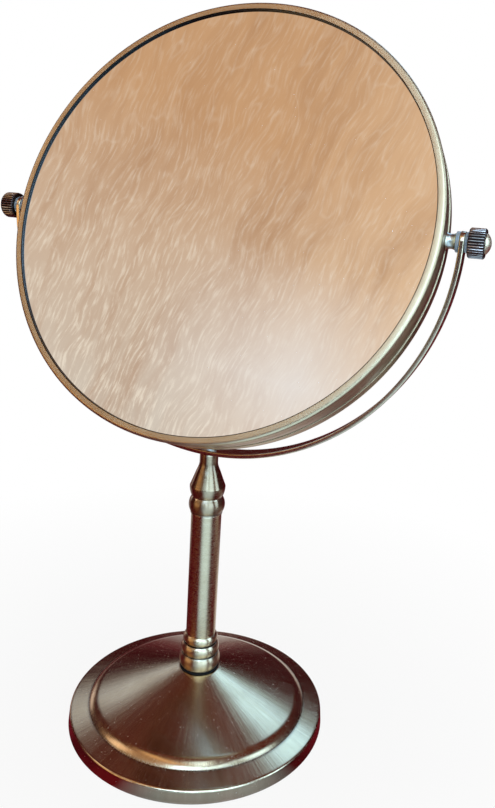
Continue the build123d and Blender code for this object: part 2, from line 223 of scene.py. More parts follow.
class PostSizes(bpy.types.PropertyGroup):
    """Sizes of the turned post."""

    ring_heights: lengths(
        "Ring heights", (0.0073, 0.0058, 0.0049), "Heights of the collar's rings, from the lowest")
    ring_radii: lengths(
        "Ring radii", (0.0104, 0.00975, 0.00875), "Radii of the collar's rings, from the lowest")
    ring_groove: length("Ring groove", 0.0011, "Depth of the grooves between the rings")
    tube_radius: length("Tube radius", 0.0075, "Outer radius of the tube")
    tube_wall: length("Tube wall", 0.001, "Wall of the tube")
    spigot_radius: length("Spigot radius", 0.00645, "Radius of the spigots inside the tube")
    spigot_length: length("Spigot length", 0.006, "Length of the spigots inside the tube")
    lip_radius: length("Lip radius", 0.0079, "Radius of the bead's lip")
    lip_height: length("Lip height", 0.0009, "Height of the bead's lip")
    bead_radius: length("Bead radius", 0.0089, "Radius of the bead's crown")
    crown_height: length("Crown height", 0.0045, "Height of the bead's crown above the tube")
    ridge_radius: length("Ridge radius", 0.00875, "Radius of the finial's ridge")
    ridge_height: length("Ridge height", 0.0054, "Height of the finial's ridge above its foot")
    bowl_bulge: length("Bowl bulge", 0.00035, "How far the finial's bowl swells")
    waist_radius: length("Waist radius", 0.0064, "Radius half way up the finial")
    waist_height: length("Waist height", 0.0116, "Height of that waist above the finial's foot")
    neck_radius: length("Neck radius", 0.0045, "Radius of the finial's neck")
    neck_height: length("Neck height", 0.0176, "Height where the neck turns straight")
    edge_round: length("Edge round", 0.0002, "Rounding of turned edges")


class YokeSizes(bpy.types.PropertyGroup):
    """Sizes of the half-ring strap."""

    inner_radius: length("Inner radius", 0.1081, "Radius of the strap's inner face")
    thickness: length("Thickness", 0.0022, "Thickness of the strap")
    width: length("Width", 0.009, "Width of the strap")
    edge_round: length("Edge round", 0.0005, "Rounding of the strap's edges")
    run_steps: IntProperty(name="Run steps", description="Steps along the strap", default=180)
    end_steps: IntProperty(name="End steps", description="Steps round each end", default=24)


class HeadSizes(bpy.types.PropertyGroup):
    """Sizes of the tilting mirror head."""

    tilt: angle("Tilt", 20.9, "How far the mirror leans back at rest")
    radius: length("Radius", 0.1025, "Outer radius of the bezels")
    depth: length("Depth", 0.0205, "Depth from bezel to bezel")
    bezel_sheet: length("Bezel sheet", 0.0007, "Thickness of the bezel's sheet")
    bezel_width: length("Bezel width", 0.0038, "Width of the bezel's front")
    bezel_round: length("Bezel round", 0.0015, "Rounding from the bezel's front to its skirt")
    bezel_foot: length("Bezel foot", 0.00305, "Distance of the bezel's skirt from the middle plane")
    lip_depth: length("Lip depth", 0.0092, "Distance of the bezel's lip from the middle plane")
    glass_radius: length("Glass radius", 0.10085, "Radius of the two glasses")
    glass_face: length("Glass face", 0.00915, "Distance of the front glass's face from the middle plane")
    glass_thickness: length("Glass thickness", 0.002, "Thickness of the glasses")
    glass_bevel: length("Glass bevel", 0.0004, "Ground bevel on the glass edges")
    magnifier_sag: length("Magnifier sag", 0.0131, "Depth of the magnifying glass's bowl")
    band_half_width: length("Band half width", 0.0028, "Half the width of the raised band")
    band_radius: length("Band radius", 0.1022, "Outer radius of the band")
    band_inner_radius: length("Band inner radius", 0.101, "Inner radius of the band")
    flange_radius: length("Flange radius", 0.10175, "Radius of the band's flanges")
    flange_end: length("Flange end", 0.0079, "Distance of the flange's end from the middle plane")
    edge_round: length("Edge round", 0.00018, "Rounding of sheet edges")


class PivotSizes(bpy.types.PropertyGroup):
    """Sizes of the pivots, washers and thumb knobs."""

    stud_radius: length("Stud radius", 0.002, "Radius of the threaded stud")
    boss_radius: length("Boss radius", 0.0036, "Radius of the boss's ends")
    boss_waist: length("Boss waist", 0.00305, "Radius of the boss's waist")
    boss_foot: length("Boss foot", 0.10265, "Distance of the boss's inner end from the head's middle")
    neck_radius: length("Neck radius", 0.00255, "Radius of the neck between boss and band")
    rivet_radius: length("Rivet radius", 0.0025, "Radius of the flush rivet inside the band")
    washer_bore: length("Washer bore", 0.00206, "Radius of the hole in the washers")
    washer_round: length("Washer round", 0.0003, "Rounding of the washers' edges")
    knob_radius: length("Knob radius", 0.0062, "Radius over the knurls")
    knob_chamfer: length("Knob chamfer", 0.0005, "Chamfer at the knob's ends")
    knurl_depth: length("Knurl depth", 0.00052, "Depth of the grooves between the knurls")
    knurl_count: IntProperty(name="Knurl count", description="Knurls round a knob", default=32)
    cap_radius: length("Cap radius", 0.0043, "Radius of the domed cap")
    cap_rise: length("Cap rise", 0.0022, "Height of the dome")
    cap_plug_radius: length("Cap plug radius", 0.0032, "Radius of the cap's plug")
    cap_round: length("Cap round", 0.0003, "Rounding of the dome's edge")


class Finishes(bpy.types.PropertyGroup):
    """Colours of the finishes."""

    bronze: colour("Bronze", (0.40, 0.28, 0.155), "Aged brass plating")
    bronze_light: colour("Light bronze", (0.54, 0.41, 0.25), "Where the plating is rubbed paler")
    # Painted shade: darker copies of the bronze stand in for the shade on the finial and the bead.
    shaded: colour("Shaded bronze", (0.28, 0.185, 0.10), "Browner plating on the finial and the bead")
    shaded_light: colour(
        "Light shaded bronze", (0.40, 0.29, 0.17), "Where the browner plating is rubbed paler")
    patina: colour("Patina", (0.045, 0.022, 0.018), "Darkened plating in hollows")
    worn: colour("Worn brass", (0.78, 0.66, 0.45), "Bright brass on rubbed edges")
    # Painted shade: the knobs' near-black plating stands in for the shade in their grooves.
    knob: colour("Knob", (0.035, 0.026, 0.02), "Plating on the knurled knobs")
    stud: colour("Stud", (0.62, 0.58, 0.47), "Paler plating on the pivot studs")
    stud_light: colour("Light stud", (0.78, 0.76, 0.67), "Where the studs are rubbed paler")
    # Worn metal and a painted glint on the knurls' crests.
    crest: colour("Crest", (0.82, 0.72, 0.64), "Bright metal on the knurls' crests")
    cap: colour("Cap", (0.95, 0.76, 0.49), "Polished brass of the caps")
    silver: colour("Silver", (0.93, 0.925, 0.91), "Silvering of the mirrors")
    nylon: colour("Nylon", (0.50, 0.75, 0.98), "Milky washers")
    rubber: colour("Rubber", (0.006, 0.006, 0.006), "Gasket")
    foam: colour("Foam", (0.020, 0.020, 0.022), "Soft pad")
    zinc: colour("Zinc", (0.58, 0.58, 0.56), "Plated nut, washer, rod and screw")
    iron: colour("Iron", (0.055, 0.055, 0.056), "Cast weight")
    board: colour("Board", (0.21, 0.20, 0.18), "Pressed board spacer")
    dust: colour("Dust", (0.62, 0.58, 0.52), "Dust on the plating")
    glass_dust: colour("Glass dust", (0.70, 0.67, 0.62), "Dust on the mirrors")
    # Painted shade: a dark ring at the glasses' edge, under the bezels' lips.
    glass_edge_shade: colour("Glass edge", (0.012, 0.013, 0.012), "Unsilvered edge of the mirrors")
    glass_shade_reach: lengths("Edge reach", (0.0017, 0.0015), "How far in the unsilvered edge starts and is full")
    nylon_haze: colour("Nylon haze", (0.86, 0.90, 0.92), "Paler clouds in the washers")
    black_dust: colour("Black dust", (0.10, 0.095, 0.09), "Dust on rubber and foam")


class StageSettings(bpy.types.PropertyGroup):
    """Camera, floor, light and what is reflected."""

    camera_place: lengths("Camera place", (0.15218, -0.31829, 0.26487), "Where the camera stands")
    camera_yaw: angle("Camera yaw", -19.781, "Turn of the camera from +Y towards +X")
    camera_pitch: angle("Camera pitch", -12.808, "Rise of the camera's line of sight")
    camera_roll: angle("Camera roll", -4.015, "Roll of the camera about its line of sight")
    clip_start: length("Clip start", 0.01, "Nearest distance that the camera sees")
    focal_pixels: number("Focal length", 759.06, "Focal length in image pixels")
    centre_pixel: numbers("Centre pixel", (287.974, 373.148), "Image point on the line of sight")
    floor_size: length("Floor size", 60.0, "Side of the floor")
    floor_near: length("Floor near", 0.07, "Radius where the floor starts to run into the background")
    floor_far: length("Floor far", 0.32, "Radius where the floor is all background")
    floor_colour: colour("Floor colour", (0.80, 0.795, 0.785), "Plain pale floor")
    floor_glow: share("Floor glow", 0.9, "How far the near floor shows as plain background")
    background: colour("Background", (1.0, 1.0, 1.0), "Plain background")
    ambient: number("Ambient", 0.35, "Strength of the soft light from all round")
    key_radiance: number("Key lamp", 1.6, "Glow of the key lamp")
    fill_radiance: number("Fill lamp", 0.6, "Glow of the fill lamp")
    surround_size: length("Surround size", 1.5, "Radius of the reflected surround")
    surround_low: colour("Low surround", (0.060, 0.006, 0.009), "Reflected surround at the table")
    surround_high: colour("High surround", (0.20, 0.06, 0.045), "Reflected surround overhead")
    surround_rise: share("Surround rise", 0.3, "Height in the surround where it starts to lighten")
    cloth_colour: colour("Cloth", (0.19, 0.010, 0.022), "Reflected dark cloth on the table")
    cloth_fold: colour("Cloth fold", (0.055, 0.004, 0.008), "Reflected cloth in its folds")
    cloth_height: length("Cloth height", 0.0002, "Height of the reflected dark cloth above the floor")
    fold_fineness: number("Fold fineness", 16, "Folds of the cloth to a metre")
    patch_colour: colour("Patch", (0.80, 0.78, 0.76), "Reflected pale patch behind the base")
    patch_spread: angles("Patch spread", (50, 20), "Angles from the back where the patch ends and is full")
    patch_reach: lengths("Patch reach", (0.24, 0.15), "Distances where the patch ends and is full")
    side_colour: colour("Side patch", (0.48, 0.44, 0.42), "Reflected grey patches behind, at the sides")
    side_outer: angles("Side outer", (88, 66), "Angles from the back where the grey ends and is full")
    side_inner: angles("Side inner", (40, 52), "Angles from the back where the grey starts and is full")
    side_reach: lengths("Side reach", (0.55, 0.36), "Distances where the grey patches end and are full")
    side_start: lengths("Side start", (0.15, 0.26), "Distances where the grey patches start and are full")
    card_colour: colour("Card", (1.1, 1.7, 2.3), "Reflected pale card on the cloth")
    card_azimuth: angle("Card azimuth", 33, "Where the card lies round the object")
    card_spread: angles("Card spread", (42, 18), "Angles from its middle where the card ends and is full")
    card_reach: lengths("Card reach", (0.045, 0.12), "Distances where the card starts and is full")
    board_foot: colour("Board foot", (0.68, 0.61, 0.52), "Warm board in front, low down")
    board_top: colour("Board top", (0.62, 0.36, 0.19), "Warm board in front, high up")
    board_lit: colour("Board lit", (0.86, 0.60, 0.38), "Warm board towards the light")
    board_dark: colour("Board dark", (0.42, 0.21, 0.10), "Darker streaks in the board")
    board_pale: colour("Board pale", (0.98, 0.88, 0.73), "Paler streaks in the board")
    board_heights: numbers("Board heights", (-0.36, 0.15), "Where the board's foot and top colours lie")
    board_widths: numbers("Board widths", (0.0, 0.45), "Where the board starts to be lit and is lit in full")
    board_lean: angle("Board lean", 87, "Rise of the board's streaks")
    board_wave: numbers("Board wave", (9, 0.04), "Fineness and depth of the waves in the board's streaks")
    board_fineness: numbers("Board fineness", (9, 60, 280), "Clouds, streaks and fine lines across the board")
    board_streaks: numbers("Board streaks", (0.35, 0.07, 0.11), "Their fineness along the board as a share")
    # Painted glare on the reflected board.
    glare_share: share("Haze share", 0.8, "How far the haze covers the board")


class VanityMirrorSettings(bpy.types.PropertyGroup):
    """All the settings of the mirror."""

    base: PointerProperty(type=BaseSizes)
    post: PointerProperty(type=PostSizes)
    yoke: PointerProperty(type=YokeSizes)
    head: PointerProperty(type=HeadSizes)
    pivot: PointerProperty(type=PivotSizes)
    finish: PointerProperty(type=Finishes)
    stage: PointerProperty(type=StageSettings)


# Node trees

class Socket:
    """One output of a node. Arithmetic on it adds Math nodes."""

    def __init__(self, graph, socket):
        self.graph = graph
        self.socket = socket

    def math(self, operation, *others):
        return self.graph.node("ShaderNodeMath", {"operation": operation}, dict(enumerate((self, *others))))

    def __add__(self, other):
        return self.math("ADD", other)

    def __sub__(self, other):
        return self.math("SUBTRACT", other)

    def __mul__(self, other):
        return self.math("MULTIPLY", other)

    def __truediv__(self, other):
        return self.math("DIVIDE", other)

    def __pow__(self, other):
        return self.math("POWER", other)

    def __rsub__(self, other):
        return self.graph.node("ShaderNodeMath", {"operation": "SUBTRACT"}, {0: other, 1: self})

    __radd__ = __add__
    __rmul__ = __mul__

    def clamped(self, low, high):
        """0 at low, 1 at high and straight between them."""
        inputs = {"Value": self, "From Min": low, "From Max": high}
        return self.graph.node("ShaderNodeMapRange", {"clamp": True}, inputs)


class Graph:
    """Adds nodes to a shader or geometry tree."""

    def __init__(self, tree):
        self.tree = tree

    def node(self, kind, settings=None, inputs=None, out=0):
        """Add a node, set it up, fill or link its sockets and return one of its outputs."""
        made = self.tree.nodes.new(kind)
        for name, value in (settings or {}).items():
            setattr(made, name, value)
        for key, value in (inputs or {}).items():
            if isinstance(value, Socket):
                self.tree.links.new(value.socket, made.inputs[key])
            else:
                made.inputs[key].default_value = value
        return Socket(self, made.outputs[out]) if made.outputs else made

    def point(self):
        """The surface point in the object's own coordinates."""
        return self.node("ShaderNodeTexCoord", out="Object")

    def scaled(self, vector, scale):
        """A point with each of its coordinates scaled."""
        return self.node("ShaderNodeMapping", None, {"Vector": vector, "Scale": scale})

    def vector(self, x, y, z):
        return self.node("ShaderNodeCombineXYZ", None, {0: x, 1: y, 2: z})

    def split(self, vector):
        first = self.node("ShaderNodeSeparateXYZ", None, {0: vector})
        return [Socket(self, output) for output in first.socket.node.outputs]

    def noise(self, vector, scale=1.0, detail=3.0, roughness=0.6):
        inputs = {"Vector": vector, "Scale": scale, "Detail": detail, "Roughness": roughness}
        return self.node("ShaderNodeTexNoise", None, inputs)

    def blend(self, first, second, factor):
        """Mix two colours."""
        settings = {"data_type": "RGBA", "clamp_factor": True}
        return self.node("ShaderNodeMix", settings, {0: factor, 6: opaque(first), 7: opaque(second)}, out=2)

    def bump(self, height, strength, distance=BRUSH_DEPTH):
        inputs = {"Strength": strength, "Distance": distance, "Height": height}
        return self.node("ShaderNodeBump", None, inputs)

    def mark(self, name):
        """A number stored on the mesh."""
        return self.node("ShaderNodeAttribute", {"attribute_name": name}, out="Fac")


def opaque(value):
    """A colour with its alpha, where it is a plain colour."""
    return value if isinstance(value, Socket) else (*value[:3], 1.0)


def start_material(name):
    """A new material with an empty Principled shader, and the graph to fill it with."""
    material = bpy.data.materials.new(name)
    material.use_nodes = True
    return material, Graph(material.node_tree), material.node_tree.nodes["Principled BSDF"]


def finish_shader(graph, shader, linked, constants):
    """Link what varies and set what doesn't."""
    for name, socket in linked.items():
        graph.tree.links.new(socket.socket, shader.inputs[name])
    for name, value in constants.items():
        shader.inputs[name].default_value = value


def upright():
    """The frame of pieces turned about the post."""
    return Matrix.Identity(4)


def head_frame(sizes):
    """The frame of pieces turned about the mirror's own axis."""
    return Matrix.Translation(PIVOT) @ Matrix.Rotation(math.radians(90) - sizes.tilt, 4, "X")


def pivot_frame(side):
    """The frame of pieces turned about the tilt axis, pointing outward."""
    return Matrix.Translation(PIVOT) @ Matrix.Rotation(side * math.radians(90), 4, "Y")


def yoke_frame():
    """The frame of the strap, turned about the front-to-back axis through the pivots."""
    return Matrix.Translation(PIVOT) @ Matrix.Rotation(math.radians(-90), 4, "X")


def local_place(graph, place):
    """The surface point in a piece's own frame."""
    inputs = {"Vector": graph.point(), "Location": place.translation, "Rotation": place.to_euler()}
    return graph.node("ShaderNodeMapping", {"vector_type": "TEXTURE"}, inputs)


def polar(graph, place):
    """Sine and cosine of the turn, radius and height of the surface point in a piece's own frame."""
    x, y, z = graph.split(local_place(graph, place))
    radius = (x * x + y * y + 1e-9) ** 0.5
    return x / radius, y / radius, radius, z


def reach_from_axis(graph, place):
    """Distance of the surface point from the axis of a piece's own frame."""
    return polar(graph, place)[2]


def turned_lines(graph, place, per_metre, drift):
    """Fine lines that run round a piece, as a lathe or a polishing wheel leaves them."""
    east, north, radius, height = polar(graph, place)
    radius_share = 0.73
    along = (height + radius * radius_share) * per_metre
    return graph.noise(graph.vector(east * drift, north * drift, along))


def radial_lines(graph, place, per_turn, drift):
    """Fine lines that run from the middle of a piece outward."""
    east, north, radius, _ = polar(graph, place)
    per_radian = per_turn / math.tau
    return graph.noise(graph.vector(east * per_radian, north * per_radian, radius * drift))


# Materials

def bronze(name, place, finish, gloss, bite, lay="turned", lines=9000, tone=0.0, dust=0.0, spread=0.0,
           spread_turn=0.0, lacquer=0.6, lacquer_gloss=0.1, colours=("bronze", "bronze_light"),
           painted_shade_inside=None):
    """Aged brass plating: brushed lines, darker hollows, rubbed edges and a thin lacquer, and painted shade
    on a bezel's inside where asked.
    """
    material, graph, shader = start_material(name)
    point = local_place(graph, place)
    if lay == "radial":
        fine = radial_lines(graph, place, lines, drift=40)
        broad = radial_lines(graph, place, lines / 5, drift=25)
    else:
        fine = turned_lines(graph, place, lines, drift=2.5)
        broad = turned_lines(graph, place, lines / 6, drift=1.2)
    cloud = graph.noise(point, CLOUD_FINENESS, roughness=0.55)
    mottle = graph.noise(point, MOTTLE_FINENESS, detail=2.0)
    speck = graph.noise(point, SPECK_FINENESS, detail=1.0, roughness=0.5).clamped(0.74, 0.80)
    hollow = graph.mark("hollow")
    ridge = graph.mark("ridge")

    rubbed = (cloud * 0.7 + broad * 0.5 + tone).clamped(0.38, 0.88)
    shade = graph.blend(*(getattr(finish, tint) for tint in colours), rubbed)
    shade = graph.blend(shade, finish.patina, (hollow * 1.1 + mottle * hollow * 0.6) * 0.9)
    shade = graph.blend(shade, finish.worn, (ridge * mottle * 1.3).clamped(0.25, 1.0) * 0.75)
    shade = graph.blend(shade, finish.dust, speck * dust)
    # Painted shade: inward of its lip, the bezel takes the dark gasket colour for the shade in the gap at the
    # glass.
    if painted_shade_inside:
        wall = reach_from_axis(graph, place).clamped(*(painted_shade_inside + fade for fade in INSIDE_SHADE_FADE))
        shade = graph.blend(shade, finish.rubber, wall)
    brushed = gloss + (fine - 0.5) * 0.22 + (broad - 0.5) * 0.12
    roughness = brushed + hollow * 0.18 - ridge * 0.06 + speck * dust * 0.4
    normal = graph.bump(fine + broad * 0.6 + speck * dust, bite)
    finish_shader(graph, shader, {"Base Color": shade, "Roughness": roughness, "Normal": normal}, {
        "Metallic": 1.0,
        "Coat Weight": lacquer,
        "Coat Roughness": lacquer_gloss,
        "Anisotropic": spread,
        "Anisotropic Rotation": spread_turn,
    })
    return material


def polished_brass(name, place, finish):
    """Bright lacquered brass with faint polishing lines and a darker edge."""
    material, graph, shader = start_material(name)
    lines = turned_lines(graph, place, per_metre=7000, drift=2.0)
    tarnish = graph.noise(local_place(graph, place), scale=420)
    shade = graph.blend(finish.cap, finish.bronze_light, tarnish.clamped(0.45, 0.85) * 0.6)
    shade = graph.blend(shade, finish.patina, graph.mark("hollow") * 0.8)
    roughness = 0.36 + (lines - 0.5) * 0.10 + tarnish * 0.08
    normal = graph.bump(lines + tarnish * 0.4, strength=0.15, distance=POLISH_DEPTH)
    linked = {"Base Color": shade, "Roughness": roughness, "Normal": normal}
    finish_shader(graph, shader, linked, {"Metallic": 1.0, "Coat Weight": 0.3, "Coat Roughness": 0.05})
    return material


def knurled_bronze(name, place, finish, sizes):
    """Near-black plating that stands in for the shade in a knob's grooves, and knurl crests painted bright as
    worn metal with a glint.
    """
    material, graph, shader = start_material(name)
    # Painted glint and wear: the outermost share of the knurls turns bright.
    worn_and_glint_share = 0.35
    worn_and_glint_from = sizes.knob_radius - sizes.knurl_depth * worn_and_glint_share
    crest = reach_from_axis(graph, place).clamped(worn_and_glint_from, sizes.knob_radius)
    grime = graph.noise(local_place(graph, place), scale=900)
    lines = turned_lines(graph, place, per_metre=8000, drift=2.0)
    # Painted shade in the near-black plating, with a painted glint and wear on the crests.
    shade = graph.blend(finish.patina, finish.knob, grime.clamped(0.35, 0.8))
    shade = graph.blend(shade, finish.crest, crest * (0.55 + grime * 0.6))
    roughness = 0.42 - crest * 0.16 + (grime - 0.5) * 0.2
    normal = graph.bump(lines + grime * 0.6, strength=0.3)
    linked = {"Base Color": shade, "Roughness": roughness, "Normal": normal}
    finish_shader(graph, shader, linked, {"Metallic": 1.0, "Coat Weight": 0.2, "Coat Roughness": 0.2})
    return material


def silvered_glass(name, place, finish, sizes):
    """Back-silvered glass with a dark ring painted at its edge as the shade under the bezel's lip, faint wipe
    marks and a little dust.
    """
    material, graph, shader = start_material(name)
    point = local_place(graph, place)
    # Painted shade: a dark, less metallic ring at the glass's edge, under the bezel's lip.
    edge = reach_from_axis(graph, place).clamped(*(sizes.glass_radius - reach for reach in finish.glass_shade_reach))
    wipe = graph.noise(graph.scaled(point, (14, 46, 14)), detail=4.0)
    dust = graph.noise(point, scale=1500, detail=1.0, roughness=0.5).clamped(0.77, 0.82)
    shade = graph.blend(finish.silver, finish.glass_edge_shade, edge)
    shade = graph.blend(shade, finish.glass_dust, dust * 0.35)
    roughness = 0.012 + wipe.clamped(0.5, 0.9) * 0.03 + dust * 0.25 + edge * 0.1
    linked = {"Base Color": shade, "Roughness": roughness, "Metallic": 1 - edge * 0.9}
    finish_shader(graph, shader, linked, {"Coat Weight": 1.0, "Coat Roughness": 0.01})
    return material


def milky_nylon(name, place, finish):
    """Translucent plastic of the washers, with moulding haze."""
    material, graph, shader = start_material(name)
    haze = graph.noise(local_place(graph, place), scale=700)
    shade = graph.blend(finish.nylon, finish.nylon_haze, haze.clamped(0.35, 0.75))
    roughness = 0.28 + haze * 0.2
    normal = graph.bump(haze, strength=0.15, distance=MOULD_DEPTH)
    linked = {"Base Color": shade, "Roughness": roughness, "Normal": normal}
    finish_shader(graph, shader, linked, {"Transmission Weight": 0.45, "IOR": 1.53})
    return material


def matt_black(name, base, finish, scale, pores):
    """Rubber or foam with a fine pored skin and a little dust."""
    material, graph, shader = start_material(name)
    point = graph.point()
    pore = graph.node("ShaderNodeTexVoronoi", None, {"Vector": point, "Scale": scale})
    cloud = graph.noise(point, scale=120)
    shade = graph.blend(base, finish.black_dust, cloud.clamped(0.5, 0.9) * 0.2)
    roughness = 0.72 + (cloud - 0.5) * 0.25
    normal = graph.bump(pore + cloud * 0.4, pores, GRAIN_DEPTH)
    linked = {"Base Color": shade, "Roughness": roughness, "Normal": normal}
    finish_shader(graph, shader, linked, {"Specular IOR Level": 0.15})
    return material


def rough_metal(name, base, gloss, metal, grain):
    """Plated or cast metal with a grainy surface."""
    material, graph, shader = start_material(name)
    point = graph.point()
    grains = graph.noise(point, grain, detail=4.0, roughness=0.65)
    stain = graph.noise(point, scale=90, roughness=0.5).clamped(0.4, 0.8)
    shade = graph.blend(base, [value * 0.55 for value in base], stain)
    roughness = gloss + (grains - 0.5) * 0.3
    normal = graph.bump(grains, strength=0.4, distance=GRAIN_DEPTH)
    linked = {"Base Color": shade, "Roughness": roughness, "Normal": normal}
    finish_shader(graph, shader, linked, {"Metallic": metal})
    return material


def pressed_board(name, base):
    """Grey board with short fibres."""
    material, graph, shader = start_material(name)
    fibre = graph.noise(graph.scaled(graph.point(), (900, 250, 900)), detail=4.0, roughness=0.5)
    shade = graph.blend(base, [value * 1.5 for value in base], fibre.clamped(0.35, 0.7))
    normal = graph.bump(fibre, strength=0.4, distance=GRAIN_DEPTH)
    finish_shader(graph, shader, {"Base Color": shade, "Normal": normal}, {"Roughness": 0.9})
    return material


# Outlines, as points of radius and height

def arc(start, middle, end, count=ARC_POINTS):
    """Points of the arc from start through middle to end, without the start."""
    a, b, c = (complex(*point) for point in (start, middle, end))
    w = (c - a) / (b - a)
    centre = (b - a) * (w - abs(w) ** 2) / (2j * w.imag) + a
    first, half, last = (p - centre for p in (a, b, c))
    turn = math.remainder(math.atan2((half / first).imag, (half / first).real), math.tau)
    turn += math.remainder(math.atan2((last / half).imag, (last / half).real), math.tau)
    points = []
    for step in range(1, count + 1):
        point = centre + first * complex(math.cos(turn * step / count), math.sin(turn * step / count))
        points.append((point.real, point.imag))
    return points


def leaving_arc(start, heading, end, count=ARC_POINTS):
    """Points of the arc that leaves start along heading and reaches end, without the start."""
    start, end = Vector(start), Vector(end)
    across = Vector((-heading[1], heading[0])).normalized()
    chord = end - start
    radius = chord.length_squared / (2 * across.dot(chord))
    centre = start + across * radius
    middle = centre + ((start - centre) + (end - centre)).normalized() * abs(radius)
    return arc(start, middle, end, count)


def swept_curve(start, start_heading, end, end_heading, count=ARC_POINTS):
    """Points of a smooth curve between two points with given headings, without the start."""
    start, end = Vector(start), Vector(end)
    points = []
    for step in range(1, count + 1):
        t = step / count
        point = (start * (1 + 2 * t) * (1 - t) ** 2 + Vector(start_heading) * t * (1 - t) ** 2
                 + end * t ** 2 * (3 - 2 * t) + Vector(end_heading) * t ** 2 * (t - 1))
        points.append(tuple(point))
    return points


def thickened(path, thickness):
    """A closed outline of a sheet: the path, and the path shifted to its left."""
    shifted = []
    for index, here in enumerate(path):
        before = Vector(path[max(index - 1, 0)])
        after = Vector(path[min(index + 1, len(path) - 1)])
        here = Vector(here)
        runs = [run.normalized() for run in (here - before, after - here) if run.length > 0]
        sides = [Vector((-run.y, run.x)) for run in runs]
        middle = sum(sides, Vector((0, 0))).normalized()
        shifted.append(tuple(here + middle * thickness / middle.dot(sides[0])))
    return list(path) + shifted[::-1]


def softened(outline, radius, closed=True):
    """The outline with each sharp corner off the axis rounded."""
    points = [Vector(point) for point in outline]
    result = []
    for index, here in enumerate(points):
        before = points[index - 1]
        after = points[(index + 1) % len(points)]
        inward, onward = here - before, after - here
        ends = not closed and index in (0, len(points) - 1)
        if ends or here.x <= MERGE_REACH or inward.length * onward.length == 0:
            result.append(tuple(here))
            continue
        turn = abs(inward.angle_signed(onward))
        if turn < CORNER_TURN:
            result.append(tuple(here))
            continue
        shorter = min(inward.length, onward.length)
        reach = min(radius * math.tan(min(turn, CORNER_TURN_LIMIT) / 2), CORNER_SHARE * shorter)
        start = here - inward.normalized() * reach
        end = here + onward.normalized() * reach
        for step in range(CORNER_POINTS + 1):
            t = step / CORNER_POINTS
            result.append(tuple(start * (1 - t) ** 2 + here * 2 * t * (1 - t) + end * t ** 2))
    return result


def divided(outline, longest):
    """The closed outline with its long runs divided, except along the axis."""
    result = []
    for here, after in zip(outline, outline[1:] + outline[:1]):
        run = math.dist(here, after)
        count = 1 if max(here[0], after[0]) <= MERGE_REACH else max(1, math.ceil(run / longest))
        for step in range(count):
            t = step / count
            result.append((here[0] + (after[0] - here[0]) * t, here[1] + (after[1] - here[1]) * t))
    return result


def shape_marks(outline):
    """How hollow and how ridged the outline is at each of its points, from 0 to 1."""
    pairs = list(zip(outline, outline[1:] + outline[:1]))
    sense = 1 if sum(a[0] * b[1] - b[0] * a[1] for a, b in pairs) > 0 else -1
    turns = []
    for index, here in enumerate(outline):
        inward = Vector(here) - Vector(outline[index - 1])
        onward = Vector(outline[(index + 1) % len(outline)]) - Vector(here)
        still = inward.length < MERGE_REACH or onward.length < MERGE_REACH
        turns.append(0.0 if still else -sense * inward.angle_signed(onward))
    marks = []
    for here in outline:
        hollow = ridge = 0.0
        for there, turn in zip(outline, turns):
            nearness = math.exp(-(math.dist(here, there) / MARK_REACH) ** 2)
            hollow += max(0.0, -turn) * nearness
            ridge += max(0.0, turn) * nearness
        marks.append((min(1.0, hollow / MARK_FULL_TURN), min(1.0, ridge / MARK_FULL_TURN)))
    return marks


# Meshes and pieces

def finished(mesh, place, merged=False):
    """Face a closed mesh outward, move it to its place and shade it smooth with its sharp edges kept."""
    tidy = bmesh.new()
    tidy.from_mesh(mesh)
    if merged:
        bmesh.ops.remove_doubles(tidy, verts=tidy.verts, dist=MERGE_REACH)
    bmesh.ops.recalc_face_normals(tidy, faces=tidy.faces)
    tidy.to_mesh(mesh)
    tidy.free()
    mesh.transform(place)
    mesh.shade_smooth()
    mesh.set_sharp_from_angle(angle=SHARP_ANGLE)
    mesh.update()
    return mesh


def marked_mesh(name, vertices, faces, marks, place):
    """A finished mesh that carries its marks of hollows and ridges."""
    mesh = bpy.data.meshes.new(name)
    mesh.from_pydata(vertices, [], faces)
    for index, mark in enumerate(("hollow", "ridge")):
        attribute = mesh.attributes.new(mark, "FLOAT", "POINT")
        attribute.data.foreach_set("value", [pair[index] for pair in marks])
    return finished(mesh, place, merged=True)


def turned_mesh(name, outline, place, steps, longest):
    """Turn a closed outline about the place's Z axis."""
    outline = divided(outline, longest)
    row_marks = shape_marks(outline)
    vertices, faces, marks, rows = [], [], [], []
    for (radius, height), mark in zip(outline, row_marks):
        turns = 1 if radius <= MERGE_REACH else steps
        rows.append([len(vertices) + step % turns for step in range(steps)])
        for step in range(turns):
            turn = math.tau * step / steps
            vertices.append((radius * math.cos(turn), radius * math.sin(turn), height))
            marks.append(mark)
    for row, after in zip(rows, rows[1:] + rows[:1]):
        for step in range(steps):
            following = (step + 1) % steps
            corners = list(dict.fromkeys((row[step], row[following], after[following], after[step])))
            if len(corners) > 2:
                faces.append(corners)
    return marked_mesh(name, vertices, faces, marks, place)


def add_piece(node, body, mesh, material):
    """Show a mesh in place of a CAD node and let it ride on the node's body."""
    mesh.materials.clear()
    mesh.materials.append(material)
    piece = bpy.data.objects.new(f"{node}_visual", mesh)
    bpy.context.scene.collection.objects.link(piece)
    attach(piece, body)
    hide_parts(node)
    return piece


def add_turned(node, body, outline, place, material, steps=NARROW_STEPS, longest=OUTLINE_STEP):
    """Turn an outline to the finished piece of a CAD node."""
    mesh = turned_mesh(f"{node}_visual", outline, place, steps, longest)
    return add_piece(node, body, mesh, material)


def ring_outline(bore, radius, low, high):
    """A plain ring between two heights, or a disc where its bore is 0."""
    return [(bore, low), (radius, low), (radius, high), (bore, high)]


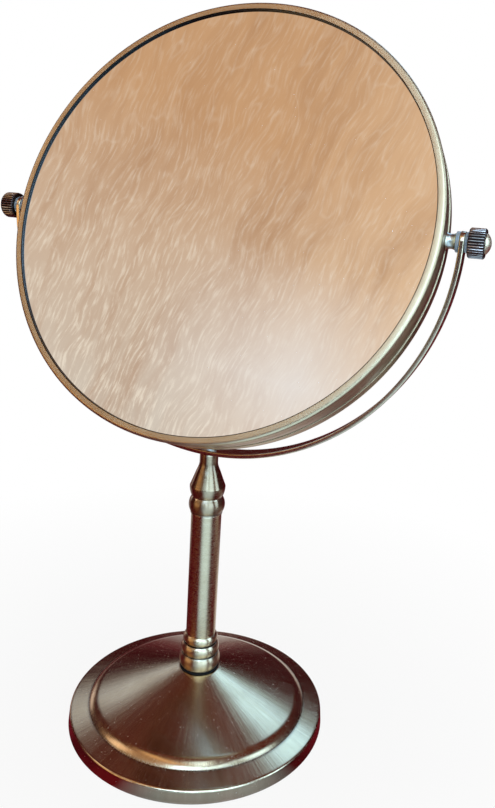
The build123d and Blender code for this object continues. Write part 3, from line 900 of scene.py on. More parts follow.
def new_geometry_tree(name, inputs):
    """A geometry tree with named inputs. Returns the tree, its graph and a dictionary of its inputs."""
    tree = bpy.data.node_groups.new(name, "GeometryNodeTree")
    tree.interface.new_socket("Geometry", in_out="INPUT", socket_type="NodeSocketGeometry")
    for label, kind in inputs.items():
        tree.interface.new_socket(label, in_out="INPUT", socket_type=kind)
    tree.interface.new_socket("Geometry", in_out="OUTPUT", socket_type="NodeSocketGeometry")
    graph = Graph(tree)
    start = tree.nodes.new("NodeGroupInput")
    return tree, graph, {output.name: Socket(graph, output) for output in start.outputs if output.name}


def end_geometry_tree(graph, geometry, material):
    """Realize what was made, give it its material and send it out."""
    real = graph.node("GeometryNodeRealizeInstances", None, {"Geometry": geometry})
    covered = graph.node("GeometryNodeSetMaterial", None, {"Geometry": real, "Material": material})
    graph.node("NodeGroupOutput", None, {"Geometry": covered})


def evaluated_mesh(name, start_mesh, tree, values, place):
    """Run a geometry tree on a start mesh with these input values, and return a finished plain mesh."""
    maker = bpy.data.objects.new(name + "_maker", start_mesh)
    bpy.context.scene.collection.objects.link(maker)
    modifier = maker.modifiers.new(tree.name, "NODES")
    modifier.node_group = tree
    for item in tree.interface.items_tree:
        if item.in_out == "INPUT" and item.name in values:
            modifier[item.identifier] = values[item.name]
    layer = bpy.context.evaluated_depsgraph_get()
    mesh = bpy.data.meshes.new_from_object(maker.evaluated_get(layer))
    maker.modifiers.remove(modifier)
    bpy.data.objects.remove(maker)
    if not mesh.polygons:
        raise RuntimeError(f"{name}: the geometry tree made nothing")
    mesh.name = name
    return finished(mesh, place)


def knurl_tree():
    """Geometry tree of a thumb nut along +Z, with straight V grooves round it."""
    tree, graph, given = new_geometry_tree("Knurled nut", {
        "Radius": "NodeSocketFloat",
        "Length": "NodeSocketFloat",
        "Bore": "NodeSocketFloat",
        "Chamfer": "NodeSocketFloat",
        "Knurl Depth": "NodeSocketFloat",
        "Knurl Count": "NodeSocketInt",
        "Material": "NodeSocketMaterial",
    })
    stations = 6
    rows = stations * 3 + 1
    around = given["Knurl Count"] * POINTS_TO_A_KNURL + 1
    grid = graph.node("GeometryNodeMeshGrid", None,
                      {"Size X": 1.0, "Size Y": 1.0, "Vertices X": around, "Vertices Y": rows})
    across, along, _ = graph.split(graph.node("GeometryNodeInputPosition"))
    turn = across + 0.5
    station = (along + 0.5) * stations
    faced = station.clamped(0, 1)
    first_chamfer = station.clamped(1, 2)
    side = station.clamped(2, 3)
    last_chamfer = station.clamped(3, 4)
    returned = station.clamped(4, 5)
    bored = station.clamped(5, 6)
    chamfer = given["Chamfer"]
    wide = faced - returned
    full = first_chamfer - last_chamfer
    plain = given["Bore"] + (given["Radius"] - chamfer - given["Bore"]) * wide + chamfer * full
    risen = chamfer * (first_chamfer + last_chamfer) + (given["Length"] - chamfer * 2) * side
    height = risen - given["Length"] * bored
    phase = (turn * given["Knurl Count"]).math("FRACT")
    groove = 1 - (phase * 2 - 1).math("ABSOLUTE")
    radius = plain.math("MINIMUM", given["Radius"] - given["Knurl Depth"] * groove)
    radians = turn * math.tau
    place = graph.vector(radius * radians.math("COSINE"), radius * radians.math("SINE"), height)
    shaped = graph.node("GeometryNodeSetPosition", None, {"Geometry": grid, "Position": place})
    closed = graph.node("GeometryNodeMergeByDistance", None, {"Geometry": shaped, "Distance": MERGE_REACH})
    end_geometry_tree(graph, closed, given["Material"])
    return tree


def rolled_ring_tree():
    """Geometry tree that rolls a profile round a circle about +Z."""
    tree, graph, given = new_geometry_tree("Rolled ring", {
        "Profile": "NodeSocketObject",
        "Ring Radius": "NodeSocketFloat",
        "Steps": "NodeSocketInt",
        "Material": "NodeSocketMaterial",
    })
    circle = graph.node("GeometryNodeCurvePrimitiveCircle", None,
                        {"Resolution": given["Steps"], "Radius": given["Ring Radius"]})
    level = graph.node("GeometryNodeSetCurveNormal", {"mode": "Z_UP"}, {"Curve": circle})
    profile = graph.node("GeometryNodeObjectInfo", None, {"Object": given["Profile"]}, out="Geometry")
    swept = graph.node("GeometryNodeCurveToMesh", None, {"Curve": level, "Profile Curve": profile})
    end_geometry_tree(graph, swept, given["Material"])
    return tree


def bent_strap_tree():
    """Geometry tree that bends a flat strap along X to a half ring under the pivots, with straight ends."""
    tree, graph, given = new_geometry_tree("Bent strap", {
        "Ring Radius": "NodeSocketFloat",
        "Material": "NodeSocketMaterial",
    })
    ring = given["Ring Radius"]
    along, across, outward = graph.split(graph.node("GeometryNodeInputPosition"))
    quarter = ring * (math.pi / 2)
    bent = along.math("MINIMUM", quarter).math("MAXIMUM", quarter * -1)
    straight = along - bent
    turn = bent / ring
    sine, cosine = turn.math("SINE"), turn.math("COSINE")
    reach = ring + outward
    place = graph.vector(reach * sine + straight * cosine, across, straight * sine - reach * cosine)
    shaped = graph.node("GeometryNodeSetPosition", None, {"Geometry": given["Geometry"], "Position": place})
    end_geometry_tree(graph, shaped, given["Material"])
    return tree


def profile_curve(name, outline, ring_radius):
    """A closed curve of an outline, seen along the ring that it is rolled round."""
    curve = bpy.data.curves.new(name, "CURVE")
    curve.dimensions = "3D"
    spline = curve.splines.new("POLY")
    spline.points.add(len(outline) - 1)
    for point, (radius, height) in zip(spline.points, outline):
        point.co = (radius - ring_radius, -height, 0, 1)
    spline.use_cyclic_u = True
    return bpy.data.objects.new(name, curve)


def flat_strap(name, sizes):
    """A straight strap along X with round ends and rounded edges, before it is bent."""
    half_width, half_thick, edge = sizes.width / 2, sizes.thickness / 2, sizes.edge_round
    half_run = math.pi / 2 * (sizes.inner_radius + half_thick)
    diagonal = edge * math.sqrt(0.5)
    section = [(0, half_thick), (half_width / 2, half_thick), (half_width - edge, half_thick)]
    bend = (half_width - edge + diagonal, half_thick - edge + diagonal)
    section += arc(section[-1], bend, (half_width, half_thick - edge), STRAP_EDGE_POINTS)
    section += [(width, -height) for width, height in reversed(section)]
    ends = [math.pi * (step / sizes.end_steps - 0.5) for step in range(sizes.end_steps + 1)]
    runs = [half_run * (1 - 2 * step / sizes.run_steps) for step in range(1, sizes.run_steps)]
    vertices, marks, rows = [], [], []
    for width, height in section:
        loop = [(half_run + width * math.cos(turn), width * math.sin(turn), height) for turn in ends]
        loop += [(run, width, height) for run in runs]
        loop += [(-half_run - width * math.cos(turn), -width * math.sin(turn), height) for turn in ends]
        loop += [(-run, -width, height) for run in runs]
        rows.append([len(vertices) + index for index in range(len(loop))])
        vertices += loop
        rounded = width > half_width - edge and abs(height) < half_thick
        marks += [(0.0, STRAP_EDGE_MARK if rounded else 0.0)] * len(loop)
    faces = []
    for row, after in zip(rows, rows[1:]):
        for index in range(len(row)):
            following = (index + 1) % len(row)
            faces.append((row[index], row[following], after[following], after[index]))
    return marked_mesh(name, vertices, faces, marks, Matrix.Identity(4))


# Operators, one for each piece or group of like pieces

class VANITY_OT_base_shell(bpy.types.Operator):
    """Press the base shell: a wall, a sloping rim, a rounded step and a cone"""

    bl_idname = "vanity_mirror.base_shell"
    bl_label = "Base Shell"

    def execute(self, context):
        given = context.scene.vanity_mirror
        base = given.base
        crest = (base.radius - base.draft, base.crest_height)
        valley = (base.radius - base.rim_width, base.valley_height)
        shoulder = (valley[0] - base.shoulder_width, base.shoulder_height)
        hub = (base.hub_radius, base.hub_height)
        fall = (shoulder[0] - hub[0], shoulder[1] - hub[1])
        step = [shoulder] + leaving_arc(shoulder, fall, valley)
        path = [(base.radius, base.lift), crest] + step[::-1] + [hub, (base.bore, base.hub_height)]
        outline = thickened(softened(path, base.crest_round, closed=False), base.sheet)
        material = bronze("Brushed bronze base", upright(), given.finish, **PLATING["base_shell"])
        add_turned("base_shell", "stand", outline, upright(), material, WIDE_STEPS)
        return {"FINISHED"}


class VANITY_OT_base_pad(bpy.types.Operator):
    """Cut the soft pad under the base"""

    bl_idname = "vanity_mirror.base_pad"
    bl_label = "Base Pad"

    def execute(self, context):
        given = context.scene.vanity_mirror
        low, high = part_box("base_pad")
        outline = softened(ring_outline(0, high.x, low.z, high.z), given.base.pad_round)
        material = matt_black("Black foam", given.finish.foam, given.finish, scale=2200, pores=0.5)
        piece = add_turned(
            "base_pad", "stand", outline, upright(), material, WIDE_STEPS, FLAT_STEP)
        return {"FINISHED"}


class VANITY_OT_foot_gasket(bpy.types.Operator):
    """Mould the black gasket under the post"""

    bl_idname = "vanity_mirror.foot_gasket"
    bl_label = "Foot Gasket"

    def execute(self, context):
        given = context.scene.vanity_mirror
        low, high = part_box("foot_gasket")
        outline = softened(ring_outline(given.base.bore, high.x, low.z, high.z), given.base.gasket_round)
        material = matt_black("Black rubber", given.finish.rubber, given.finish, scale=3000, pores=0.25)
        add_turned("foot_gasket", "stand", outline, upright(), material)
        return {"FINISHED"}


class VANITY_OT_post_collar(bpy.types.Operator):
    """Turn the collar of three rings"""

    bl_idname = "vanity_mirror.post_collar"
    bl_label = "Post Collar"

    def execute(self, context):
        given = context.scene.vanity_mirror
        post = given.post
        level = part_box("post_collar")[0].z
        outline = [(given.base.bore, level)]
        for height, radius in zip(post.ring_heights, post.ring_radii):
            groove = radius - post.ring_groove
            outline.append((groove, level))
            outline += arc((groove, level), (radius, level + height / 2), (groove, level + height))
            level += height
        outline += [(post.spigot_radius, level), (post.spigot_radius, level + post.spigot_length)]
        outline.append((given.base.bore, level + post.spigot_length))
        material = bronze("Turned bronze collar", upright(), given.finish, **PLATING["post_collar"])
        add_turned("post_collar", "stand", outline, upright(), material, longest=FINE_STEP)
        return {"FINISHED"}


class VANITY_OT_post_tube(bpy.types.Operator):
    """Draw the straight tube"""

    bl_idname = "vanity_mirror.post_tube"
    bl_label = "Post Tube"

    def execute(self, context):
        given = context.scene.vanity_mirror
        post = given.post
        low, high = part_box("post_tube")
        ring = ring_outline(post.tube_radius - post.tube_wall, post.tube_radius, low.z, high.z)
        material = bronze("Brushed bronze tube", upright(), given.finish, **PLATING["post_tube"])
        outline = softened(ring, post.edge_round)
        add_turned("post_tube", "stand", outline, upright(), material)
        return {"FINISHED"}


class VANITY_OT_post_bead(bpy.types.Operator):
    """Turn the bead on top of the tube"""

    bl_idname = "vanity_mirror.post_bead"
    bl_label = "Post Bead"

    def execute(self, context):
        given = context.scene.vanity_mirror
        post = given.post
        foot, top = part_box("post_tube")[1].z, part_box("post_bead")[1].z
        shelf = (post.lip_radius, foot + post.lip_height)
        lip = softened([
            (given.base.bore, top),
            (given.base.bore, foot - post.spigot_length),
            (post.spigot_radius, foot - post.spigot_length),
            (post.spigot_radius, foot),
            (post.lip_radius, foot),
            shelf,
        ], post.edge_round, closed=False)
        crown = (post.bead_radius, foot + post.crown_height)
        outline = lip + arc(shelf, crown, (post.tube_radius, top), CROWN_POINTS)
        material = bronze("Turned bronze bead", upright(), given.finish, **PLATING["post_bead"])
        add_turned("post_bead", "stand", outline, upright(), material, longest=FINE_STEP)
        return {"FINISHED"}


class VANITY_OT_finial_neck(bpy.types.Operator):
    """Turn the vase-shaped finial that carries the yoke"""

    bl_idname = "vanity_mirror.finial_neck"
    bl_label = "Finial Neck"

    def execute(self, context):
        given = context.scene.vanity_mirror
        post = given.post
        low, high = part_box("finial_neck")
        foot = (post.tube_radius, low.z)
        ridge = (post.ridge_radius, low.z + post.ridge_height)
        waist = (post.waist_radius, low.z + post.waist_height)
        neck = (post.neck_radius, low.z + post.neck_height)
        belly = ((foot[0] + ridge[0]) / 2 + post.bowl_bulge, (foot[1] + ridge[1]) / 2)
        fall = (waist[0] - ridge[0], waist[1] - ridge[1])
        draw = ((neck[0] - ridge[0]) / 2, (neck[1] - ridge[1]) / 2)
        outline = [(0, low.z), foot] + arc(foot, belly, ridge)
        outline += swept_curve(ridge, fall, waist, draw) + swept_curve(waist, draw, neck, (0, draw[1]))
        outline += [(post.neck_radius, high.z), (0, high.z)]
        material = bronze("Turned bronze finial", upright(), given.finish, **PLATING["finial_neck"])
        add_turned("finial_neck", "stand", outline, upright(), material, longest=FINE_STEP)
        return {"FINISHED"}


class VANITY_OT_yoke(bpy.types.Operator):
    """Bend the strap to the half-ring yoke"""

    bl_idname = "vanity_mirror.yoke"
    bl_label = "Yoke"

    def execute(self, context):
        given = context.scene.vanity_mirror
        sizes = given.yoke
        material = bronze("Satin bronze strap", yoke_frame(), given.finish, **PLATING["yoke"])
        values = {"Ring Radius": sizes.inner_radius + sizes.thickness / 2, "Material": material}
        strap = flat_strap("yoke_flat", sizes)
        mesh = evaluated_mesh("yoke_visual", strap, bent_strap_tree(), values, Matrix.Translation(PIVOT))
        add_piece("yoke", "stand", mesh, material)
        return {"FINISHED"}


class VANITY_OT_bezels(bpy.types.Operator):
    """Roll the front and rear bezels"""

    bl_idname = "vanity_mirror.bezels"
    bl_label = "Bezels"

    def execute(self, context):
        given = context.scene.vanity_mirror
        head = given.head
        front = head.depth / 2
        middle = head.radius - head.bezel_width / 2
        inner = head.radius - head.bezel_width
        path = [(head.radius, head.bezel_foot), (head.radius, front - head.bezel_round)]
        path += leaving_arc(path[-1], (0, 1), (head.radius - head.bezel_round, front), BEZEL_POINTS)
        path += [(inner, front), (inner, head.lip_depth)]
        outline = softened(thickened(path, head.bezel_sheet), head.edge_round)
        tree = rolled_ring_tree()
        for name, turn in {"front": 0, "rear": math.pi}.items():
            node = f"{name}_bezel"
            place = head_frame(head) @ Matrix.Rotation(turn, 4, "X")
            # The bezel's inside gets painted shade, inward of its lip.
            plating = {**PLATING["bezel"], "painted_shade_inside": inner}
            material = bronze(f"Satin bronze {name} bezel", place, given.finish, **plating)
            profile = profile_curve(f"{node}_profile", outline, middle)
            values = {"Profile": profile, "Ring Radius": middle, "Steps": WIDE_STEPS, "Material": material}
            start = bpy.data.meshes.new(f"{node}_start")
            mesh = evaluated_mesh(f"{node}_visual", start, tree, values, place)
            bpy.data.objects.remove(profile)
            add_piece(node, "head", mesh, material)
        return {"FINISHED"}


class VANITY_OT_head_band(bpy.types.Operator):
    """Roll the middle band of the head"""

    bl_idname = "vanity_mirror.head_band"
    bl_label = "Head Band"

    def execute(self, context):
        given = context.scene.vanity_mirror
        head = given.head
        half = [
            (head.band_inner_radius, head.flange_end),
            (head.flange_radius, head.flange_end),
            (head.flange_radius, head.band_half_width),
            (head.band_radius, head.band_half_width),
        ]
        outline = softened(half + [(radius, -height) for radius, height in reversed(half)], head.edge_round)
        place = head_frame(head)
        material = bronze("Satin bronze band", place, given.finish, **PLATING["head_band"])
        add_turned("head_band", "head", outline, place, material, WIDE_STEPS)
        return {"FINISHED"}


class VANITY_OT_glasses(bpy.types.Operator):
    """Cut the flat mirror and grind the magnifying one"""

    bl_idname = "vanity_mirror.glasses"
    bl_label = "Glasses"

    def execute(self, context):
        given = context.scene.vanity_mirror
        head = given.head
        place = head_frame(head)
        back = head.glass_face - head.glass_thickness
        flat = head.glass_radius - 2 * head.glass_bevel
        rim = [(head.glass_radius, back), (head.glass_radius, head.glass_face)]
        disc = [(0, back), (flat, back), *rim, (flat, head.glass_face), (0, head.glass_face)]
        inside = [(0, head.magnifier_sag - back)]
        inside += leaving_arc(inside[0], (1, 0), (head.glass_radius, -back), BOWL_POINTS)
        outside = [(radius, height - head.glass_thickness) for radius, height in inside]
        outlines = {"plane_glass": disc, "magnifying_glass": inside + outside[::-1]}
        for node, outline in outlines.items():
            material = silvered_glass(f"Silvered {node}", place, given.finish, head)
            bevelled = softened(outline, head.glass_bevel)
            add_turned(node, "head", bevelled, place, material, WIDE_STEPS, FLAT_STEP)
        return {"FINISHED"}


class VANITY_OT_pivot_studs(bpy.types.Operator):
    """Turn the two bosses with their studs"""

    bl_idname = "vanity_mirror.pivot_studs"
    bl_label = "Pivot Studs"

    def execute(self, context):
        given = context.scene.vanity_mirror
        pivot, head = given.pivot, given.head
        boss_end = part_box("inner_washer_right")[0].x
        stud_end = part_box("pivot_stud_right")[1].x
        band_middle = (head.band_inner_radius + head.band_radius) / 2
        stud = softened([
            (0, head.band_inner_radius),
            (pivot.rivet_radius, head.band_inner_radius),
            (pivot.stud_radius, band_middle),
            (pivot.stud_radius, head.band_radius),
            (pivot.neck_radius, head.band_radius),
            (pivot.neck_radius, pivot.boss_foot),
            (pivot.boss_radius, pivot.boss_foot),
        ], head.edge_round, closed=False)
        waist = (pivot.boss_waist, (pivot.boss_foot + boss_end) / 2)
        stud += arc(stud[-1], waist, (pivot.boss_radius, boss_end))
        stud += [(pivot.stud_radius, boss_end), (pivot.stud_radius, stud_end), (0, stud_end)]
        for name, side in SIDES.items():
            node = f"pivot_stud_{name}"
            place = pivot_frame(side)
            material = bronze(f"Turned bronze stud {name}", place, given.finish, **PLATING["pivot_stud"])
            add_turned(node, "head", stud, place, material, longest=FINE_STEP)
        return {"FINISHED"}


class VANITY_OT_washers(bpy.types.Operator):
    """Punch the milky washers on both faces of the yoke"""

    bl_idname = "vanity_mirror.washers"
    bl_label = "Washers"

    def execute(self, context):
        given = context.scene.vanity_mirror
        pivot = given.pivot
        for name, side in SIDES.items():
            place = pivot_frame(side)
            for layer, body in {"inner": "head", "outer": f"{name}_washer"}.items():
                node = f"{layer}_washer_{name}"
                low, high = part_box(node)
                near, far = sorted((abs(low.x), abs(high.x)))
                outline = softened(ring_outline(pivot.washer_bore, high.y, near, far), pivot.washer_round)
                material = milky_nylon(f"Milky nylon {layer} {name}", place, given.finish)
                add_turned(node, body, outline, place, material)
        return {"FINISHED"}


class VANITY_OT_knobs(bpy.types.Operator):
    """Knurl the two thumb knobs"""

    bl_idname = "vanity_mirror.knobs"
    bl_label = "Knobs"

    def execute(self, context):
        given = context.scene.vanity_mirror
        pivot = given.pivot
        face, end = (corner.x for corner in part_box("knob_right"))
        tree = knurl_tree()
        for name, side in SIDES.items():
            node = f"knob_{name}"
            material = knurled_bronze(f"Knurled bronze {name}", pivot_frame(side), given.finish, pivot)
            values = {
                "Radius": pivot.knob_radius,
                "Length": end - face,
                "Bore": pivot.stud_radius,
                "Chamfer": pivot.knob_chamfer,
                "Knurl Depth": pivot.knurl_depth,
                "Knurl Count": pivot.knurl_count,
                "Material": material,
            }
            start = bpy.data.meshes.new(f"{node}_start")
            place = pivot_frame(side) @ Matrix.Translation((0, 0, face))
            mesh = evaluated_mesh(f"{node}_visual", start, tree, values, place)
            add_piece(node, f"{name}_knob", mesh, material)
        return {"FINISHED"}


class VANITY_OT_knob_caps(bpy.types.Operator):
    """Press the polished domes in the knobs' ends"""

    bl_idname = "vanity_mirror.knob_caps"
    bl_label = "Knob Caps"

    def execute(self, context):
        given = context.scene.vanity_mirror
        pivot = given.pivot
        seat, tip = (corner.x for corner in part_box("knob_cap_right"))
        face = tip - pivot.cap_rise
        brim = (pivot.cap_radius, face + pivot.cap_round)
        rim = softened([
            (0, seat),
            (pivot.cap_plug_radius, seat),
            (pivot.cap_plug_radius, face),
            (pivot.cap_radius, face),
            brim,
        ], pivot.cap_round / 2, closed=False)
        dome = leaving_arc((0, tip), (1, 0), brim, CROWN_POINTS)
        outline = rim + dome[-2::-1] + [(0, tip)]
        for name, side in SIDES.items():
            node = f"knob_cap_{name}"
            place = pivot_frame(side)
            material = polished_brass(f"Polished brass cap {name}", place, given.finish)
            add_turned(
                node, f"{name}_knob", outline, place, material, longest=FINE_STEP)
        return {"FINISHED"}


class VANITY_OT_inner_parts(bpy.types.Operator):
    """Finish the parts that keep their CAD shape: weight, rod, nut, washer, spacer and yoke screw"""

    bl_idname = "vanity_mirror.inner_parts"
    bl_label = "Inner Parts"

    def execute(self, context):
        finish = context.scene.vanity_mirror.finish
        zinc = rough_metal("Zinc plating", finish.zinc, gloss=0.38, metal=1.0, grain=1800)
        materials = dict.fromkeys(("base_washer", "base_nut", "tie_rod", "yoke_screw"), zinc)
        materials["base_weight"] = rough_metal("Cast iron", finish.iron, gloss=0.7, metal=0.0, grain=700)
        materials["glass_spacer"] = pressed_board("Pressed board", finish.board)
        for node, material in materials.items():
            for slot in frame["nodes"][node].material_slots:
                slot.material = material
        return {"FINISHED"}


# Stage

def seen_plainly(graph):
    """1 for what the camera, metal or glass sees, and 0 for soft light that bounces."""
    path = graph.node("ShaderNodeLightPath").socket.node
    kinds = ("Is Camera Ray", "Is Glossy Ray", "Is Transmission Ray")
    camera, glossy, through = (Socket(graph, path.outputs[kind]) for kind in kinds)
    return camera.math("MAXIMUM", glossy).math("MAXIMUM", through)


def direction(azimuth, elevation):
    """The way from the object to a place round it. Azimuth 0 is in front, at -Y, and 90 is at +X."""
    level = math.cos(elevation)
    return Vector((level * math.sin(azimuth), -level * math.cos(azimuth), math.sin(elevation)))


def glow_material(name):
    """A new material with an empty tree, and the graph to fill it with."""
    material = bpy.data.materials.new(name)
    material.use_nodes = True
    material.node_tree.nodes.clear()
    return material, Graph(material.node_tree)


def show_glow(graph, shade):
    """Let a material shine in its own colour."""
    glow = graph.node("ShaderNodeEmission", None, {"Color": shade})
    graph.node("ShaderNodeOutputMaterial", None, {"Surface": glow})


def floor_material(stage):
    """Plain pale floor that keeps the object's soft shadow and runs into the background far away."""
    material, graph, shader = start_material("Pale floor")
    constants = {"Base Color": opaque(stage.floor_colour), "Roughness": 0.9, "Specular IOR Level": 0.0}
    finish_shader(graph, shader, {}, constants)
    far = reach_from_axis(graph, upright()).clamped(stage.floor_near, stage.floor_far)
    plain = graph.node("ShaderNodeEmission", None, {"Color": opaque(stage.background)})
    lit = Socket(graph, shader.outputs[0])
    glow = seen_plainly(graph) * (far * (1 - stage.floor_glow) + stage.floor_glow)
    mixed = graph.node("ShaderNodeMixShader", None, {0: glow, 1: lit, 2: plain})
    output = graph.tree.nodes["Material Output"]
    graph.tree.links.new(mixed.socket, output.inputs["Surface"])
    return material


def dot(graph, point, way):
    """How far a point lies along a direction."""
    return graph.node("ShaderNodeVectorMath", {"operation": "DOT_PRODUCT"}, {0: point, 1: way}, out="Value")


def box_mask(graph, point, box):
    """1 inside a soft box and 0 outside it, with faded edges, and the places across and up its face."""
    azimuth, elevation = math.radians(box.azimuth), math.radians(box.elevation)
    ahead = direction(azimuth, elevation)
    across = direction(azimuth + math.pi / 2, 0)
    depth = dot(graph, point, ahead)
    places = [dot(graph, point, way) / depth for way in (across, ahead.cross(across))]
    mask = depth.math("GREATER_THAN", 0)
    for place, half_angle in zip(places, (box.half_width, box.half_height)):
        offset = place.math("ABSOLUTE") / math.tan(math.radians(half_angle))
        mask = mask * offset.clamped(1, 1 - box.fade)
    return mask, *places


def grained_board(graph, across, above, stage):
    """The warm board in front, paler towards its foot, with soft clouds and short fine streaks."""
    height = above.clamped(*stage.board_heights)
    shade = graph.blend(stage.board_foot, stage.board_top, height)
    shade = graph.blend(shade, stage.board_lit, across.clamped(*stage.board_widths))
    run, rise = math.cos(stage.board_lean), math.sin(stage.board_lean)
    fineness, depth = stage.board_wave
    wave = graph.noise(graph.vector(across * fineness, above * fineness, 0), detail=1.0, roughness=0.5)
    along = across * run + above * rise
    aside = above * run - across * rise + (wave - 0.5) * depth
    streaks = []
    for fine, length_share in zip(stage.board_fineness, stage.board_streaks):
        place = graph.vector(along * (fine * length_share), aside * fine, 0)
        streaks.append(graph.noise(place))
    figure, streak, grain = streaks
    shade = graph.blend(shade, stage.board_dark, (figure - 0.42) * 1.6 + (streak - 0.5) * 0.9)
    ring = ((figure * 9).math("FRACT") - 0.5).math("ABSOLUTE").clamped(0.10, 0.0)
    paler = grain.clamped(0.50, 0.66) * ((1 - height) * 0.55 + 0.15) + ring * 0.1
    return graph.blend(shade, stage.board_pale, paler)


def surround_material(stage):
    """What metal and glass reflect: soft boxes and a warm board on a dark surround, with a painted glare on
    the board.
    """
    material, graph = glow_material("Reflected surround")
    point = graph.point()
    height = graph.split(point)[2] / stage.surround_size
    glow = graph.blend(stage.surround_low, stage.surround_high, height.clamped(stage.surround_rise, 1))
    for box in SOFT_BOXES:
        glow = graph.blend(glow, box.glow, box_mask(graph, point, box)[0])
    mask, across, above = box_mask(graph, point, WARM_BOARD)
    # Painted glare: a pale patch laid over part of the board, for light falling on it.
    haze = box_mask(graph, point, BOARD_GLARE)[0] * stage.glare_share
    board = graph.blend(grained_board(graph, across, above, stage), BOARD_GLARE.glow, haze)
    show_glow(graph, graph.blend(glow, board, mask))
    return material


def between(cosine, spread):
    """0 at the first angle from a direction and 1 at the second, for the cosine of the angle from it."""
    return cosine.clamped(*(math.cos(turn) for turn in spread))


def dark_cloth_material(stage):
    """A dark cloth in soft folds under the base, with a pale card and pale and grey patches laid on it."""
    material, graph = glow_material("Reflected cloth")
    east, north, radius, _ = polar(graph, upright())
    fold = graph.noise(local_place(graph, upright()), stage.fold_fineness).clamped(0.40, 0.62)
    shade = graph.blend(stage.cloth_colour, stage.cloth_fold, fold)
    patch = between(north, stage.patch_spread) * radius.clamped(*stage.patch_reach)
    shade = graph.blend(shade, stage.patch_colour, patch)
    sides = between(north, stage.side_outer) * between(north, stage.side_inner)
    sides = sides * radius.clamped(*stage.side_reach) * radius.clamped(*stage.side_start)
    shade = graph.blend(shade, stage.side_colour, sides)
    toward = direction(stage.card_azimuth, 0)
    card = between(east * toward.x + north * toward.y, stage.card_spread)
    shade = graph.blend(shade, stage.card_colour, card * radius.clamped(*stage.card_reach))
    show_glow(graph, shade)
    return material


def add_stage_mesh(name, mesh, material, only_reflected=False):
    """Show a mesh that belongs to the stage."""
    mesh.materials.append(material)
    shown = bpy.data.objects.new(name, mesh)
    bpy.context.scene.collection.objects.link(shown)
    if only_reflected:
        for rays in ("camera", "diffuse", "transmission", "shadow"):
            setattr(shown, f"visible_{rays}", False)


def sphere_mesh(name, radius):
    mesh = bpy.data.meshes.new(name)
    ball = bmesh.new()
    bmesh.ops.create_uvsphere(
        ball, u_segments=SURROUND_STEPS, v_segments=SURROUND_STEPS // 2, radius=radius)
    ball.to_mesh(mesh)
    ball.free()
    return mesh


def square_mesh(name, side, height):
    half = side / 2
    mesh = bpy.data.meshes.new(name)
    corners = [(-half, -half, height), (half, -half, height), (half, half, height), (-half, half, height)]
    mesh.from_pydata(corners, [], [(0, 1, 2, 3)])
    return mesh


def soft_lamp(name, radiance, azimuth, elevation, distance, size):
    """A square soft lamp that faces the object and lights it, but shows in no reflection."""
    lamp = bpy.data.lights.new(name, "AREA")
    lamp.shape = "SQUARE"
    lamp.size = size
    lamp.energy = radiance * math.pi * size * size
    way = direction(math.radians(azimuth), math.radians(elevation))
    box = bpy.data.objects.new(name, lamp)
    box.location = Vector((0, 0, PIVOT.z / 2)) + way * distance
    box.rotation_euler = way.to_track_quat("Z", "Y").to_euler()
    box.visible_camera = False
    box.visible_glossy = False
    bpy.context.scene.collection.objects.link(box)


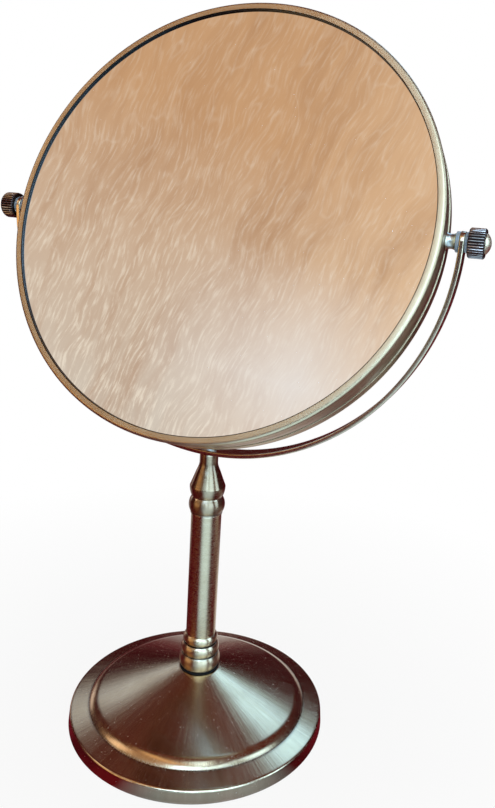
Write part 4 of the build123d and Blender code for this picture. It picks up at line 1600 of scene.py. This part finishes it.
class VANITY_OT_stage(bpy.types.Operator):
    """Set up the camera, the floor, the background, the soft lamps and what is reflected"""

    bl_idname = "vanity_mirror.stage"
    bl_label = "Stage"

    def execute(self, context):
        scene = context.scene
        stage = scene.vanity_mirror.stage
        scene.view_settings.view_transform = "Standard"
        self.add_camera(scene, stage)
        self.add_world(scene, stage)
        add_stage_mesh("floor", square_mesh("floor", stage.floor_size, 0), floor_material(stage))
        surround = sphere_mesh("surround", stage.surround_size)
        add_stage_mesh("surround", surround, surround_material(stage), only_reflected=True)
        cloth = square_mesh("cloth", stage.surround_size * 2, stage.cloth_height)
        add_stage_mesh("cloth", cloth, dark_cloth_material(stage), only_reflected=True)
        soft_lamp("key_lamp", stage.key_radiance, azimuth=50, elevation=48, distance=1.3, size=0.9)
        soft_lamp("fill_lamp", stage.fill_radiance, azimuth=-70, elevation=40, distance=1.5, size=1.0)
        return {"FINISHED"}

    @staticmethod
    def add_camera(scene, stage):
        yaw, pitch, roll = stage.camera_yaw, stage.camera_pitch, stage.camera_roll
        level = math.cos(pitch)
        ahead = Vector((math.sin(yaw) * level, math.cos(yaw) * level, math.sin(pitch)))
        right = Vector((math.cos(yaw), -math.sin(yaw), 0))
        down = ahead.cross(right)
        rolled_right = right * math.cos(roll) + down * math.sin(roll)
        rolled_up = right * math.sin(roll) - down * math.cos(roll)
        lens = bpy.data.cameras.new("Camera")
        lens.sensor_fit = "VERTICAL"
        lens.lens = stage.focal_pixels / IMAGE_HEIGHT * lens.sensor_height
        lens.shift_x = (IMAGE_WIDTH / 2 - stage.centre_pixel[0]) / IMAGE_HEIGHT
        lens.shift_y = (stage.centre_pixel[1] - IMAGE_HEIGHT / 2) / IMAGE_HEIGHT
        lens.clip_start = stage.clip_start
        camera = bpy.data.objects.new("Camera", lens)
        turn = Matrix((rolled_right, rolled_up, -ahead)).transposed().to_4x4()
        camera.matrix_world = Matrix.Translation(Vector(stage.camera_place)) @ turn
        scene.collection.objects.link(camera)
        scene.camera = camera

    @staticmethod
    def add_world(scene, stage):
        world = bpy.data.worlds.new("Studio")
        world.use_nodes = True
        world.node_tree.nodes.clear()
        graph = Graph(world.node_tree)
        soft = graph.node("ShaderNodeBackground", None, {"Strength": stage.ambient})
        plain = graph.node("ShaderNodeBackground", None, {"Color": opaque(stage.background)})
        mixed = graph.node("ShaderNodeMixShader", None, {0: seen_plainly(graph), 1: soft, 2: plain})
        graph.node("ShaderNodeOutputWorld", None, {"Surface": mixed})
        scene.world = world


# Sidebar

class VANITY_PT_panel(bpy.types.Panel):
    """Lists the steps that build the mirror"""

    bl_idname = "VANITY_PT_panel"
    bl_label = "Vanity Mirror"
    bl_space_type = "VIEW_3D"
    bl_region_type = "UI"
    bl_category = "Vanity Mirror"

    def draw(self, context):
        for step in STEPS:
            self.layout.operator(step.bl_idname)


STEPS = (
    VANITY_OT_stage,
    VANITY_OT_base_shell,
    VANITY_OT_base_pad,
    VANITY_OT_foot_gasket,
    VANITY_OT_post_collar,
    VANITY_OT_post_tube,
    VANITY_OT_post_bead,
    VANITY_OT_finial_neck,
    VANITY_OT_yoke,
    VANITY_OT_bezels,
    VANITY_OT_head_band,
    VANITY_OT_glasses,
    VANITY_OT_pivot_studs,
    VANITY_OT_washers,
    VANITY_OT_knobs,
    VANITY_OT_knob_caps,
    VANITY_OT_inner_parts,
)
GROUPS = (
    BaseSizes,
    PostSizes,
    YokeSizes,
    HeadSizes,
    PivotSizes,
    Finishes,
    StageSettings,
    VanityMirrorSettings,
)


def register():
    for made in (*GROUPS, *STEPS, VANITY_PT_panel):
        bpy.utils.register_class(made)
    bpy.types.Scene.vanity_mirror = PointerProperty(type=VanityMirrorSettings)


def unregister():
    del bpy.types.Scene.vanity_mirror
    for made in reversed((*GROUPS, *STEPS, VANITY_PT_panel)):
        bpy.utils.unregister_class(made)


def main():
    """Build every piece and the stage."""
    register()
    for step in STEPS:
        family, name = step.bl_idname.split(".")
        getattr(getattr(bpy.ops, family), name)()


if __name__ == "__main__":
    main()
